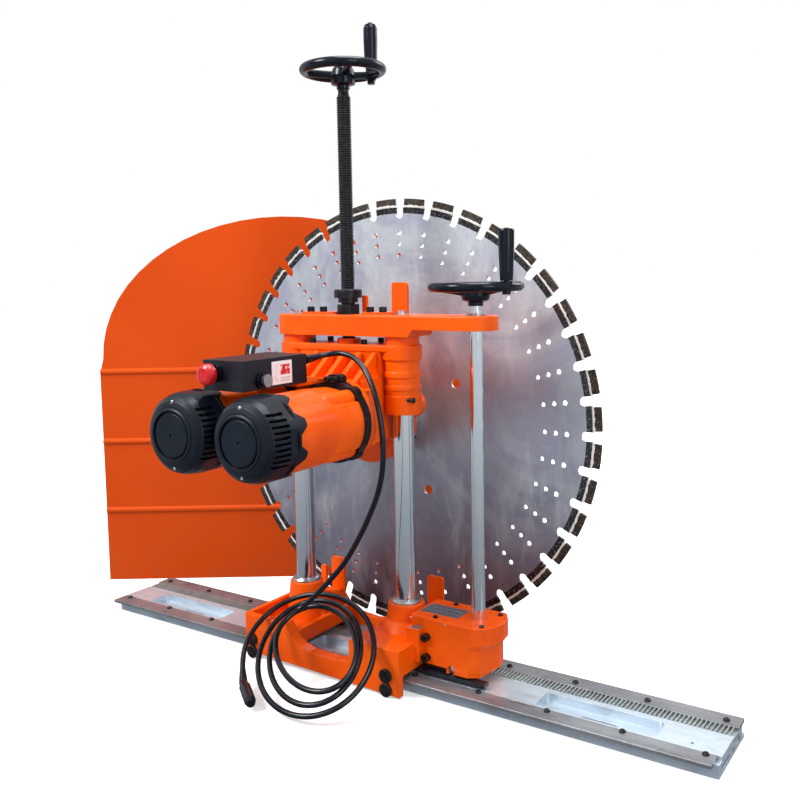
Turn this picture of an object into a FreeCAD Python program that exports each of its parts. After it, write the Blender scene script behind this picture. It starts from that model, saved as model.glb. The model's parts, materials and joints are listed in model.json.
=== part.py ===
import FreeCAD, Part
import math
import os

# Track-mounted wall saw, in millimetres.
# Frame: origin at the middle of the track's underside, X along the track,
# +Y towards the blade, +Z up.

V = FreeCAD.Vector

# ---------------------------------------------------------------- driving sizes
RAIL_L = 1200.0              # track length
DECK_Z = 26.0                # top of the track deck and of the front strip
BACK_Z = 28.0                # top of the rear strip and of the rack
POST_R = 18.0                # guide post radius
POST_X = (-160.0, 60.0)      # guide post centres
HEAD_X = -50.0               # lead screw, spindle and blade centre
PLATE_Z0, PLATE_Z1 = 574.0, 609.0    # underside and top of the top plate
PLATE_W = 35.5               # half width of the top plate
SCREW_R = 12.0               # lead screw radius
SCREW_PITCH = 4.0
FEED_X = 200.0               # travel shaft centre
FEED_R = 11.0                # travel shaft radius
BLADE_R = 400.0
BLADE_Y = 150.0              # middle plane of the blade
BLADE_Z = 413.0
BLADE_T = 4.5                # thickness of the steel core
SEGMENTS = 40                # diamond segments on the rim
SEGMENT_T, SEGMENT_H = 5.5, 13.5
GEAR_M = 2.5                 # module of the blade drive
GEAR_T, PIN_T = 48, 12       # teeth of the spindle gear and of each motor pinion
MOTOR_DX = 67.5              # motors left and right of the spindle
GEAR_CENTRES = GEAR_M * (GEAR_T + PIN_T) / 2
MOTOR_Z = BLADE_Z + math.sqrt(GEAR_CENTRES ** 2 - MOTOR_DX ** 2)
MOTOR_X = (HEAD_X - MOTOR_DX, HEAD_X + MOTOR_DX)
ROLL_X = (-200.0, 88.0)      # guide roller centres along the track
ROLL_R, SMALL_ROLL_R = 9.0, 6.5
ROLL_GAP = 0.3               # running gap between a roller and its strip
FRONT_ROLL_Z = (DECK_Z + ROLL_R + ROLL_GAP, 20.0 - ROLL_R - ROLL_GAP)
BACK_ROLL_Z = (BACK_Z + ROLL_R + ROLL_GAP, 22.0 - SMALL_ROLL_R - ROLL_GAP)
RACK_M = 2.0                 # module of the travel rack and pinion
PINION_T = 18
WORM_M, WHEEL_T = 1.5, 20    # travel worm and its wheel
WORM_R = 9.0
GUARD_W, GUARD_H, GUARD_D = 820.0, 806.0, 120.0
GUARD_SHEET = 2.0
GUARD_AT = (-434.0, 271.0)   # middle of the hood's front sheet, on the floor
GUARD_TURN = 33.97           # turn of the hood about the vertical, degrees
CABLE_R = 4.5


# ---------------------------------------------------------------- helpers
def box(x0, x1, y0, y1, z0, z1):
    return Part.makeBox(x1 - x0, y1 - y0, z1 - z0, V(x0, y0, z0))


def cyl_x(y, z, x0, x1, r):
    return Part.makeCylinder(r, x1 - x0, V(x0, y, z), V(1, 0, 0))


def cyl_y(x, z, y0, y1, r):
    return Part.makeCylinder(r, y1 - y0, V(x, y0, z), V(0, 1, 0))


def cyl_z(x, y, z0, z1, r):
    return Part.makeCylinder(r, z1 - z0, V(x, y, z0), V(0, 0, 1))


def cone_y(x, z, y0, y1, r0, r1):
    return Part.makeCone(r0, r1, y1 - y0, V(x, y0, z), V(0, 1, 0))


def cone_z(x, y, z0, z1, r0, r1):
    return Part.makeCone(r0, r1, z1 - z0, V(x, y, z0), V(0, 0, 1))


def along(p, d, length, r0, r1):
    """Round bar or cone from the point p in the direction d."""
    if abs(r0 - r1) < 1e-6:
        return Part.makeCylinder(r0, length, p, d)
    return Part.makeCone(r0, r1, length, p, d)


def poly(points, push):
    """Prism: a closed outline of 3-D points pushed along a vector."""
    corners = [V(*p) for p in points]
    return Part.Face(Part.makePolygon(corners + [corners[0]])).extrude(V(*push))


def prism_x(outline, x0, x1):
    """Prism along X from (y, z) points."""
    return poly([(x0, y, z) for y, z in outline], (x1 - x0, 0, 0))


def prism_y(outline, y0, y1):
    """Prism along Y from (x, z) points."""
    return poly([(x, y0, z) for x, z in outline], (0, y1 - y0, 0))


def prism_z(outline, z0, z1):
    """Prism along Z from (x, y) points."""
    return poly([(x, y, z0) for x, y in outline], (0, 0, z1 - z0))


def slot_y(x0, x1, z, r, y0, y1):
    """Round-ended bar between two centres on X, pushed along Y."""
    bar = box(x0, x1, y0, y1, z - r, z + r)
    return bar.fuse([cyl_y(x0, z, y0, y1, r), cyl_y(x1, z, y0, y1, r)]).removeSplitter()


def slot_z(x0, x1, y, r, z0, z1):
    """Round-ended bar between two centres on X, pushed along Z."""
    bar = box(x0, x1, y - r, y + r, z0, z1)
    return bar.fuse([cyl_z(x0, y, z0, z1, r), cyl_z(x1, y, z0, z1, r)]).removeSplitter()


def ring_y(x, z, y0, y1, r0, r1):
    return cyl_y(x, z, y0, y1, r1).cut(cyl_y(x, z, y0 - 1, y1 + 1, r0))


def ring_z(x, y, z0, z1, r0, r1):
    return cyl_z(x, y, z0, z1, r1).cut(cyl_z(x, y, z0 - 1, z1 + 1, r0))


def rev_y(x, z, profile):
    """Solid of revolution about a Y axis from (radius, y) points."""
    corners = [V(x + r, y, z) for r, y in profile]
    face = Part.Face(Part.makePolygon(corners + [corners[0]]))
    return face.revolve(V(x, 0, z), V(0, 1, 0), 360)


def rev_z(x, y, profile):
    """Solid of revolution about a vertical axis from (radius, height) points."""
    corners = [V(x + r, y, z) for r, z in profile]
    face = Part.Face(Part.makePolygon(corners + [corners[0]]))
    return face.revolve(V(x, y, 0), V(0, 0, 1), 360)


def fuse(shapes):
    whole = shapes[0]
    if len(shapes) > 1:
        whole = whole.fuse(shapes[1:])
    return whole.removeSplitter()


def cut_all(shape, tools):
    for tool in tools:
        shape = shape.cut(tool)
    return shape


def upright(edge):
    return abs(edge.tangentAt(edge.FirstParameter).z) > 0.99


def crosswise(edge):
    return abs(edge.tangentAt(edge.FirstParameter).y) > 0.99


def lengthwise(edge):
    return abs(edge.tangentAt(edge.FirstParameter).x) > 0.99


def soften(shape, radius, pick):
    """Fillet the edges that pick() chooses; keep the sharp shape if the fillet fails."""
    edges = [e for e in shape.Edges if pick(e)]
    if not edges:
        return shape
    try:
        rounded = shape.makeFillet(radius, edges)
    except Exception:
        return shape
    if rounded.isValid() and rounded.Volume > 0 and len(rounded.Solids) == len(shape.Solids):
        return rounded
    return shape


def unit(vector):
    return vector * (1.0 / vector.Length)


def outline_wire(plan, z):
    """Closed wire at the height z from (x, y) points."""
    corners = [V(x, y, z) for x, y in plan]
    return Part.makePolygon(corners + [corners[0]])


def polar(x, y, r, degrees):
    """Point at a radius and angle round (x, y)."""
    a = math.radians(degrees)
    return x + r * math.cos(a), y + r * math.sin(a)


def hexagon(x, y, r):
    return [polar(x, y, r, 60 * k) for k in range(6)]


def spur(x, z, y0, y1, m, teeth, phase=0.0):
    """Straight spur gear about a Y axis, with flat-sided teeth thinned for backlash."""
    pitch_r = m * teeth / 2.0
    tip_r, root_r = pitch_r + 0.8 * m, pitch_r - 1.2 * m
    half = math.pi / teeth
    at_root, at_pitch = half * 0.62, half * 0.44
    at_tip = half * 0.306 * pitch_r / tip_r
    flank = ((-at_root, root_r), (-at_pitch, pitch_r), (-at_tip, tip_r))
    flank += tuple((-a, r) for a, r in reversed(flank))
    outline = []
    for i in range(teeth):
        middle = phase + 2 * half * i
        for a, r in flank:
            outline.append((x + r * math.cos(middle + a), z + r * math.sin(middle + a)))
    return prism_y(outline, y0, y1)


def cap_screw(x, y, z, r, h, shank_r, shank_l):
    """Socket cap screw, head standing on z, shank down."""
    screw = cyl_z(x, y, z, z + h, r).fuse(cyl_z(x, y, z - shank_l, z, shank_r))
    socket = prism_z(hexagon(x, y, 0.5 * r), z + h * 0.45, z + h * 1.45)
    return screw.cut(socket).removeSplitter()


def save(name, shape):
    if isinstance(shape, list):
        shape = Part.makeCompound(shape)
    shape.exportStep("parts/%s.step" % name)


# ---------------------------------------------------------------- track
STRIP_SCREW_X = [-580.0 + 116.0 * k for k in range(11)]
STRIP_SCREW_LINES = ((-61.0, DECK_Z), (46.0, BACK_Z))    # y, and top of the strip
POCKETS = ((-530.0, -338.0), (-118.0, 92.0), (322.0, 508.0))
RACK_TIP = 28.0
RACK_PITCH = math.pi * RACK_M
RACK_TEETH = int((RAIL_L - 4) / RACK_PITCH)
RACK_START = -RACK_TEETH * RACK_PITCH / 2.0


def track_base():
    """Flat rail: ledges for the strips, a groove for the rack, three anchor pockets."""
    half = RAIL_L / 2
    outline = [(-69, 0), (67, 0), (67, 6), (53, 6), (53, 22), (32, 22)]
    outline += [(32, 16), (8, 16), (8, DECK_Z), (-55, DECK_Z), (-55, 20), (-69, 20)]
    rail = prism_x(outline, -half, half)
    for x0, x1 in POCKETS:
        middle = (x0 + x1) / 2
        pocket = soften(box(x0, x1, -52, -4, 12, 30), 9.0, upright)
        anchor_slot = slot_z(middle - 22, middle + 22, -28, 7.0, -1, 14)
        rail = rail.cut(pocket).cut(anchor_slot)
    for x0, x1 in ((-half - 1, -half + 26), (half - 26, half + 1)):
        rail = rail.cut(box(x0, x1, -56, -14, 6, 13))
        rail = rail.cut(box(x0, x1, -2, 10, 5, 12))
        rail = rail.cut(box(x0, x1, 30, 44, 6, 16))
    for x in STRIP_SCREW_X:
        for y, _ in STRIP_SCREW_LINES:
            rail = rail.cut(cyl_z(x, y, 6, 27, 3.05))
    for x in (-556, 556):
        rail = rail.cut(cyl_z(x, -40, 14, 27, 2.5))
    return rail


def guide_strip(x1, y0, y1, z0, z1, outer_edge):
    """Hardened strip that the rollers run on, drilled for its screws."""
    strip = box(-RAIL_L / 2, x1, y0, y1, z0, z1)
    strip = soften(strip, 1.0, lambda e: lengthwise(e) and outer_edge(e))
    for x in STRIP_SCREW_X:
        for y, _ in STRIP_SCREW_LINES:
            if y0 < y < y1:
                strip = strip.cut(cyl_z(x, y, z0 - 2, z1 + 2, 3.05))
    return strip


def gear_rack():
    root = RACK_TIP - 2.25 * RACK_M
    half = RAIL_L / 2
    outline = [(-half, 16), (-half, root)]
    for i in range(RACK_TEETH):
        middle = RACK_START + (i + 0.5) * RACK_PITCH
        for share, z in ((-0.36, root), (-0.13, RACK_TIP), (0.13, RACK_TIP), (0.36, root)):
            outline.append((middle + share * RACK_PITCH, z))
    outline += [(half, root), (half, 16)]
    return prism_y(outline, 8, 32)


def strip_screw(x, y, z):
    """Button head screw."""
    head = rev_z(x, y, [(0, z), (5.0, z), (4.7, z + 1.8), (3.4, z + 3.4), (0, z + 3.5)])
    socket = prism_z(hexagon(x, y, 2.0), z + 1.5, z + 5.5)
    return head.fuse(cyl_z(x, y, z - 14, z, 3.0)).cut(socket).removeSplitter()


def make_track():
    save("track_base", track_base())
    front = guide_strip(RAIL_L / 2 - 6, -86, -55, 20, DECK_Z, lambda e: e.BoundBox.YMax < -80)
    rear = guide_strip(RAIL_L / 2, 32, 67, 22, BACK_Z, lambda e: e.BoundBox.YMin > 60)
    save("front_guide_strip", front)
    save("rear_guide_strip", rear)
    save("gear_rack", gear_rack())
    screws = []
    for x in STRIP_SCREW_X:
        for y, z in STRIP_SCREW_LINES:
            screws.append(strip_screw(x, y, z))
    save("strip_screws", screws)


# ---------------------------------------------------------------- carriage casting
FRONT_Y, REAR_Y = -105.0, 87.0       # front and back faces
LEFT_X, RIGHT_X = -220.0, 113.0      # left and right ends
RIM_Z = 79.0                         # top of the casting's walls
TOWER_Z = 122.0                      # top of the sockets of the posts
SOCKET_Z = (49.0, 66.0)              # floor of each post socket
# the hollow in the front wall, from its right corner to its left
SCOOP = [(14, 46), (8, 41), (-20, 38), (-48, 38), (-72, 39), (-90, 44), (-104, 52), (-112, 60)]
SCOOP += [(-118, 70), (-124, RIM_Z)]


def carriage_walls():
    front = [(LEFT_X, 12), (RIGHT_X, 4), (RIGHT_X, RIM_Z), (14, RIM_Z)] + SCOOP + [(LEFT_X, RIM_Z)]
    lip = SCOOP + [(-132, RIM_Z), (-126, 66), (-119, 54), (-108, 45), (-93, 36), (-74, 31.5)]
    lip += [(-48, 30.5), (-20, 30.5), (10, 32.5), (20, 34), (20, 46)]
    back = [(LEFT_X, 10), (RIGHT_X, 10), (RIGHT_X, 78), (30, 78), (10, 60), (-20, 46)]
    back += [(-60, 42), (-100, 46), (-126, 60), (-140, 78), (LEFT_X, 78)]
    inner = [(-122, -84), (-122, 76), (-111, 76), (-111, -84)]
    return [
        prism_y(front, FRONT_Y, FRONT_Y + 12),
        prism_y(lip, FRONT_Y, FRONT_Y + 22),
        prism_y(back, REAR_Y - 12, REAR_Y),
        box(LEFT_X, LEFT_X + 9, FRONT_Y, REAR_Y, 36, RIM_Z),
        box(LEFT_X + 1, -118, FRONT_Y + 2, REAR_Y - 2, 47, 55),
        prism_z(inner, 36, 62),
        box(14, RIGHT_X, FRONT_Y + 2, REAR_Y - 2, 66, RIM_Z),
        box(RIGHT_X - 12, RIGHT_X, FRONT_Y + 2, REAR_Y - 2, 36, RIM_Z),
        box(14, 24, FRONT_Y + 2, REAR_Y - 2, 36, RIM_Z),
    ]


def carriage_towers():
    """Sockets of the posts with their gussets, the gearbox bracket and a rear boss."""
    left, right = POST_X
    side_gusset = [(left, 48), (left, 100), (-118, 62), (-118, 48)]
    back_gusset = [(20, 48), (20, 100), (76, 70), (76, 48)]
    return [
        cone_z(left, 0, 47, TOWER_Z, 38, 29.5),
        cone_z(right, 0, 56, TOWER_Z, 39, 30.5),
        cone_z(right, 0, RIM_Z - 0.1, 96, 47, 33),
        prism_y(side_gusset, -5, 5),
        prism_x(back_gusset, left - 5, left + 5),
        box(RIGHT_X - 14, RIGHT_X + 10, -62, 30, 50, 104),
        cyl_z(-148, 66, 70, 84, 13),
    ]


def carriage_casting():
    casting = fuse(carriage_walls() + carriage_towers())
    for x, floor in zip(POST_X, SOCKET_Z):
        casting = casting.cut(cyl_z(x, 0, floor, 130, POST_R))
    for x in ROLL_X:
        for z in FRONT_ROLL_Z:
            casting = casting.cut(cyl_y(x, z, FRONT_Y - 1, FRONT_Y + 13, 4.0))
        for z, r in zip(BACK_ROLL_Z, (4.0, 2.5)):
            casting = casting.cut(cyl_y(x, z, REAR_Y - 13, REAR_Y + 1, r))
    for end_x in (RIGHT_X, LEFT_X):
        casting = soften(casting, 7.0, lambda e: front_corner(e, end_x))
    casting = soften(casting, 3.0, front_rim)
    return soften(casting, 2.5, tower_rim)


def front_corner(edge, x):
    at_corner = abs(edge.BoundBox.XMin - x) < 0.1 and abs(edge.BoundBox.YMin - FRONT_Y) < 0.1
    return upright(edge) and edge.Length > 40 and at_corner


def front_rim(edge):
    b = edge.BoundBox
    level = abs(b.ZMin - RIM_Z) < 0.1 and abs(b.ZMax - RIM_Z) < 0.1
    return level and abs(b.YMin - FRONT_Y) < 0.1 and abs(b.YMax - FRONT_Y) < 0.1


def tower_rim(edge):
    return abs(edge.BoundBox.ZMin - TOWER_Z) < 0.1 and edge.BoundBox.XLength > 50


def post_collar(x):
    """Wiper ring on top of a socket."""
    z = TOWER_Z
    return rev_z(x, 0, [(POST_R, z), (25.5, z), (25.5, z + 2.5), (23.5, z + 5), (POST_R, z + 6)])


def roller_stud(x, z, y_face, y_out, y_in, r, cap_r, cap_z):
    """Axle of a roller with its round cap on the outside of the casting."""
    axle = cyl_y(x, z, min(y_face, y_in), max(y_face, y_in), r)
    s = 1 if y_out > y_face else -1
    outline = [(0, y_out), (cap_r - 1.6, y_out), (cap_r, y_out - s), (cap_r, y_face), (0, y_face)]
    return fuse([axle, rev_y(x, cap_z, outline)])


def roller(x, z, y0, y1, r, bore):
    outline = [(bore, y0), (r - 0.8, y0), (r, y0 + 0.8), (r, y1 - 0.8), (r - 0.8, y1), (bore, y1)]
    return rev_y(x, z, outline)


def make_rollers():
    studs = []
    front_up, front_low = FRONT_ROLL_Z
    back_up, back_low = BACK_ROLL_Z
    for side, x in zip(("left", "right"), ROLL_X):
        studs.append(roller_stud(x, front_up, FRONT_Y, FRONT_Y - 5, -70.5, 4.0, 11.4, 35.9))
        studs.append(roller_stud(x, front_low, FRONT_Y, FRONT_Y - 5, -70.5, 4.0, 11.4, 12.9))
        studs.append(roller_stud(x, back_up, REAR_Y, REAR_Y + 5, 54.5, 4.0, 9.6, back_up))
        studs.append(roller_stud(x, back_low, REAR_Y, REAR_Y + 5, 54.5, 2.5, 6.6, back_low))
        save("roller_front_upper_" + side, roller(x, front_up, -86, -72, ROLL_R, 4.05))
        save("roller_front_lower_" + side, roller(x, front_low, -86, -72, ROLL_R, 4.05))
        save("roller_rear_upper_" + side, roller(x, back_up, 56, 70, ROLL_R, 4.05))
        save("roller_rear_lower_" + side, roller(x, back_low, 56, 67, SMALL_ROLL_R, 2.55))
    save("roller_studs", studs)


# ---------------------------------------------------------------- travel gearbox
BOX_Z0, BOX_Z1 = 45.0, 120.0         # underside of the housing, top of the cover
PINION_R = RACK_M * PINION_T / 2
PINION_Z = RACK_TIP - RACK_M + PINION_R
WHEEL_R = WHEEL_T * WORM_M / 2
WHEEL_X = FEED_X - WHEEL_R - WORM_R
COVER_PLAN = [(97, -44), (150, -48), (214, -50), (232, -40), (243, -20), (246, 0), (242, 22)]
COVER_PLAN += [(230, 41), (97, 41)]
UPPER_PLAN = [(123, -48)] + COVER_PLAN[1:-1] + [(123, 41)]
LOWER_PLAN = [(123, -48), (150, -48), (206, -50), (223, -40), (234, -20), (237, 0), (233, 22)]
LOWER_PLAN += [(221, 41), (123, 41)]
FOOT_PLAN = [(168, -50), (206, -50), (223, -39), (228, -10), (220, 28), (168, 28)]
COVER_SCREWS = ((140, 30), (140, -36), (224, -34), (226, 26))
FLANGE_BOLTS = ((131, 90), (131, 56))


def rounded_plan(plan, z0, z1):
    return soften(prism_z(plan, z0, z1), 6.0, lambda e: upright(e) and e.BoundBox.XMin > 200)


def gearbox_housing():
    lid_z = BOX_Z1 - 4
    waist = Part.makeLoft([outline_wire(LOWER_PLAN, 82), outline_wire(UPPER_PLAN, 92)], True, True)
    house = fuse([
        rounded_plan(UPPER_PLAN, 91.9, lid_z),
        waist,
        rounded_plan(LOWER_PLAN, BOX_Z0, 82.1),
        prism_z(FOOT_PLAN, 38, BOX_Z0 + 2),
        box(97, 130, -44, 41, 104.5, lid_z),
    ])
    house = cut_all(house, [
        box(132, 220, -36, 34, 52, 110),
        box(WHEEL_X - 22, WHEEL_X + 22, -12, 33.5, 30, 68),
        cyl_y(WHEEL_X, PINION_Z, -60, 60, 7.05),
        cyl_z(FEED_X, 0, 30, 60, FEED_R + 0.05),
        cyl_z(FEED_X, 0, 105, 125, FEED_R + 0.05),
    ])
    for x, y in COVER_SCREWS:
        house = house.cut(cyl_z(x, y, 100, 125, 2.05))
    for x, z in FLANGE_BOLTS:
        house = house.cut(cyl_y(x, z, -52, -20, 3.05))
    return house


def gearbox_cover():
    cover = rounded_plan(COVER_PLAN, BOX_Z1 - 4, BOX_Z1)
    cover = soften(cover, 1.5, lambda e: e.BoundBox.ZMin > BOX_Z1 - 0.1)
    cover = cover.cut(cyl_z(FEED_X, 0, 105, 125, FEED_R + 0.05))
    for x, y in COVER_SCREWS:
        cover = cover.cut(cyl_z(x, y, 100, 125, 2.05))
    return cover


def flange_bolt(x, z):
    """Socket cap screw along Y through the housing's foot."""
    bolt = cyl_y(x, z, -58, -48, 6.5).fuse(cyl_y(x, z, -48, -36.5, 3.0)).removeSplitter()
    return bolt.cut(prism_y(hexagon(x, z, 3.2), -59, -53))


def worm_thread():
    """Single-start right-hand helix, trapezoid in section."""
    lead, turns = math.pi * WORM_M, 5
    path = Part.makeHelix(lead, lead * turns, WORM_R)
    half_root = 0.19 * lead + 1.9 * math.tan(math.radians(20))
    half_tip = 0.19 * lead - 1.0 * math.tan(math.radians(20))
    inner, outer = WORM_R - 1.9, WORM_R + 1.0
    corners = [V(inner, 0, -half_root), V(outer, 0, -half_tip), V(outer, 0, half_tip), V(inner, 0, half_root)]
    section = Part.makePolygon(corners + [corners[0]])
    thread = Part.Wire(path.Edges).makePipeShell([section], True, True)
    thread.translate(V(FEED_X, 0, PINION_Z - lead * turns / 2))
    return thread


def travel_shaft():
    core = WORM_R - 1.7
    outline = [(0, 30.5), (core, 30.5), (core, 57.5), (8.0, 57.5), (8.0, 64.0), (FEED_R, 64.0)]
    outline += [(FEED_R, 617.0), (8.0, 617.0), (8.0, 656.0), (0, 656.0)]
    return rev_z(FEED_X, 0, outline).fuse(worm_thread()).removeSplitter()


def travel_pinion():
    """Rack pinion and worm wheel on one cross shaft; the lowest pinion tooth fits a rack gap."""
    rack_share = ((WHEEL_X - RACK_START) / RACK_PITCH) % 1.0
    shift = (rack_share - 0.5) * RACK_PITCH / PINION_R
    phase = -math.pi / 2 + math.pi / PINION_T - shift
    return fuse([
        spur(WHEEL_X, PINION_Z, 9.0, 31.0, RACK_M, PINION_T, phase),
        cyl_y(WHEEL_X, PINION_Z, -44, 38, 7.0),
        spur(WHEEL_X, PINION_Z, -6.0, 6.0, WORM_M, WHEEL_T, math.pi / WHEEL_T),
    ])


def make_travel_drive():
    save("gearbox_housing", gearbox_housing())
    save("gearbox_cover", gearbox_cover())
    pad = box(106, 122, -60.5, -45.5, 104, 104.6)
    save("gearbox_plate", [box(103, 174, -23, 15, BOX_Z1, BOX_Z1 + 0.8), pad])
    save("rail_wiper", box(RIGHT_X, 238, -54, -38, 30, 35.5))
    save("travel_shaft", travel_shaft())
    save("travel_pinion", travel_pinion())


# ---------------------------------------------------------------- handwheels
def handwheel(x, y, z, rim_r, tube_r, hub, turn, drop):
    """Wheel with a round rim and three spokes that fall to the hub."""
    parts = [Part.makeTorus(rim_r, tube_r, V(x, y, z), V(0, 0, 1)), rev_z(x, y, hub)]
    for k in range(3):
        inner, outer = polar(x, y, 10, turn + 120 * k), polar(x, y, rim_r - 1, turn + 120 * k)
        p0, p1 = V(*inner, z - drop), V(*outer, z)
        parts.append(Part.makeCylinder(6.0, (p1 - p0).Length, p0, p1 - p0))
    return fuse(parts)


def handle_bolt(x, y, z, z_head, z_rim):
    """Shoulder bolt through the rim that the handle turns on; z is its top."""
    outline = [(0, z_head), (6.5, z_head), (6.5, z_rim), (4.0, z_rim), (4.0, z), (0, z)]
    return rev_z(x, y, outline)


def make_travel_wheel():
    z, turn = 654.0, -16
    hub = [(8.0, 624), (12, 624), (12, 630), (21, 633), (23, 640), (23, 647), (14, 650), (8.0, 650)]
    wheel = handwheel(FEED_X, 0, z, 68.0, 7.6, hub, turn, 10.0)
    x, y = polar(FEED_X, 0, 66, turn)
    boss = cyl_z(x, y, z - 7, z + 8.5, 9.0)
    save("travel_handwheel", fuse([wheel, boss, handle_bolt(x, y, z + 88, z - 12, z - 7)]))
    grip = [(4.06, 9), (9.8, 9), (10.6, 20), (12.0, 60), (12.2, 84), (11.2, 86.5), (5, 87), (4.06, 87)]
    save("travel_handle", rev_z(x, y, [(r, z + h) for r, h in grip]))


def make_lift_wheel():
    z, turn = 1018.0, 79
    hub = [(9.0, 986), (11, 986), (11, 992), (20, 994), (20.5, 1008), (18, 1018), (14, 1024), (9.0, 1024)]
    wheel = handwheel(HEAD_X, 0, z, 65.0, 8.0, hub, turn, 8.0)
    x, y = polar(HEAD_X, 0, 65, turn)
    boss = cyl_z(x, y, z - 8, z + 9, 9.0)
    save("lift_handwheel", fuse([wheel, boss, handle_bolt(x, y, z + 88, z - 15, z - 8)]))
    grip = [(4.06, 9.5), (9.0, 9.5), (11.0, 20), (12.0, 60), (11.8, 79), (9.0, 85), (5, 86), (4.06, 86)]
    save("lift_handle", rev_z(x, y, [(r, z + h) for r, h in grip]))


# ---------------------------------------------------------------- top plate
NUT_SCREWS = ((-126, -8), (-98, -8), (2, -8), (28, -8))
PAD_TOP = PLATE_Z1 + 4


def top_plate():
    thin_z = 586
    step = [(60, thin_z), (60, PLATE_Z0), (94, PLATE_Z0), (102, thin_z)]
    plate = fuse([
        slot_z(POST_X[0], FEED_X, 0, PLATE_W, thin_z, PLATE_Z1),
        slot_z(POST_X[0], 62, 0, PLATE_W, PLATE_Z0, 590),
        prism_y(step, -PLATE_W, PLATE_W),
    ])
    plate = soften(plate, 3.0, lambda e: abs(e.BoundBox.ZMin - PLATE_Z1) < 0.1)
    plate = fuse([
        plate,
        slot_z(-130, -85, 0, 17, PLATE_Z1 - 1, PAD_TOP),
        slot_z(-1, 30, 0, 17, PLATE_Z1 - 1, PAD_TOP),
    ])
    plate = plate.cut(cyl_z(HEAD_X, 0, 560, 625, 14.0))
    plate = plate.cut(cyl_z(FEED_X, 0, 580, 615, FEED_R + 0.05))
    for x in POST_X:
        plate = plate.cut(cyl_z(x, 0, 570, PLATE_Z0 + 20, POST_R)).cut(cyl_z(x, 0, 590, 620, 5.05))
    for x, y in NUT_SCREWS:
        plate = plate.cut(cyl_z(x, y, 592, 620, 3.05))
    return plate


def post_bolt(x):
    """Washer, head and shank of the bolt that holds the plate on a post."""
    z = PLATE_Z1
    outline = [(0, PLATE_Z0 + 20), (5, PLATE_Z0 + 20), (5, z), (12, z), (12, z + 2), (7.5, z + 2)]
    return rev_z(x, 0, outline + [(7.5, z + 7), (0, z + 7)])


def lift_nut():
    z = PLATE_Z1
    block = soften(box(HEAD_X - 16, HEAD_X + 16, -16, 16, z, z + 17), 9.0, upright)
    block = soften(block, 1.5, lambda e: e.BoundBox.ZMin > z + 16.9)
    spigot = cyl_z(HEAD_X, 0, 578, z, 14.0)
    return fuse([block, spigot]).cut(cyl_z(HEAD_X, 0, 570, z + 30, SCREW_R + 0.05))


def lock_ring():
    bore, z = SCREW_R + 0.05, 629.0
    outline = [(bore, z), (17, z), (17, z + 8), (24, z + 8), (24, z + 21), (22.5, z + 22.5), (bore, z + 22.5)]
    return rev_z(HEAD_X, 0, outline)


def tongue(x0, x1, y0, z0, z1, r):
    """Flat upright plate with rounded top corners that keeps the hood in line."""
    plate = box(x0, x1, y0, y0 + 6, z0, z1)
    return soften(plate, r, lambda e: crosswise(e) and e.BoundBox.ZMin > z1 - 10)


def make_top():
    save("top_plate", top_plate())
    save("lift_nut", lift_nut())
    save("lock_ring", lock_ring())
    z = PLATE_Z1
    feed_collar = ring_z(FEED_X, 0, z, z + 4, FEED_R + 0.05, 14.0)
    save("shaft_collars", [post_collar(x) for x in POST_X] + [feed_collar])
    save("bright_screws", [post_bolt(x) for x in POST_X])
    black = [flange_bolt(x, bz) for x, bz in FLANGE_BOLTS]
    black += [cap_screw(x, y, PAD_TOP, 6.5, 9.0, 3.0, 16) for x, y in NUT_SCREWS]
    black += [cap_screw(x, y, BOX_Z1, 4.0, 2.6, 2.0, 14) for x, y in COVER_SCREWS]
    save("black_socket_screws", black)
    save("guard_tongues", [
        tongue(52, 84, 79, RIM_Z, 142, 5.0),
        tongue(-164, -134, 79, 78, 143, 5.0),
        tongue(-190, -178, 79, 78, 122, 4.0),
        tongue(24, 55, 24, z, 662, 5.0),
        tongue(-38, -29, 24, z, 640, 2.0),
    ])
    save("guide_posts", [cyl_z(x, 0, floor, PLATE_Z0 + 20, POST_R) for x, floor in zip(POST_X, SOCKET_Z)])


# ---------------------------------------------------------------- lifting head
FLANGE_Z0, FLANGE_Z1 = 548.0, 560.0
HEAD_FLOOR = 401.0                    # underside of the casting between the posts
MOUNT_Y0, MOUNT_Y1 = -122.0, -110.0   # plate that the motors bolt to
GEAR_Y0, GEAR_Y1 = 52.0, 94.0         # gear case
FLANGE_SCREWS = ((-110, -25), (0, -25), (-110, 25), (0, 25))


def post_sleeve(x):
    """Ribbed sleeve of the head round one post."""
    outline = [(0, 445), (30.5, 445), (30.5, 475), (29, 477), (29, 484), (31, 486), (31, 492)]
    outline += [(29, 494), (29, 504), (31.5, 507), (31.5, 514), (29.5, 517), (29.5, 532)]
    outline += [(33, 536), (33, 550), (0, 550)]
    return rev_z(x, 0, outline)


def head_block():
    flange = slot_z(POST_X[0], POST_X[1], 0, 33.0, FLANGE_Z0, FLANGE_Z1)
    flange = soften(flange, 3.0, lambda e: abs(e.BoundBox.ZMin - FLANGE_Z1) < 0.1
                    or abs(e.BoundBox.ZMax - FLANGE_Z0) < 0.1)
    parts = [flange]
    for x in POST_X:
        parts.append(cyl_z(x, 0, FLANGE_Z1 - 1, PLATE_Z0 - 0.5, 29.0))
        parts.append(post_sleeve(x))
    parts.append(cyl_z(HEAD_X, 0, FLANGE_Z1 - 1, 568, 20.0))
    parts.append(box(-134, 34, -30, 36, HEAD_FLOOR, FLANGE_Z0 + 1))
    parts.append(box(-131, 31, 30, 62, 380, 520))
    return parts


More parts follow.
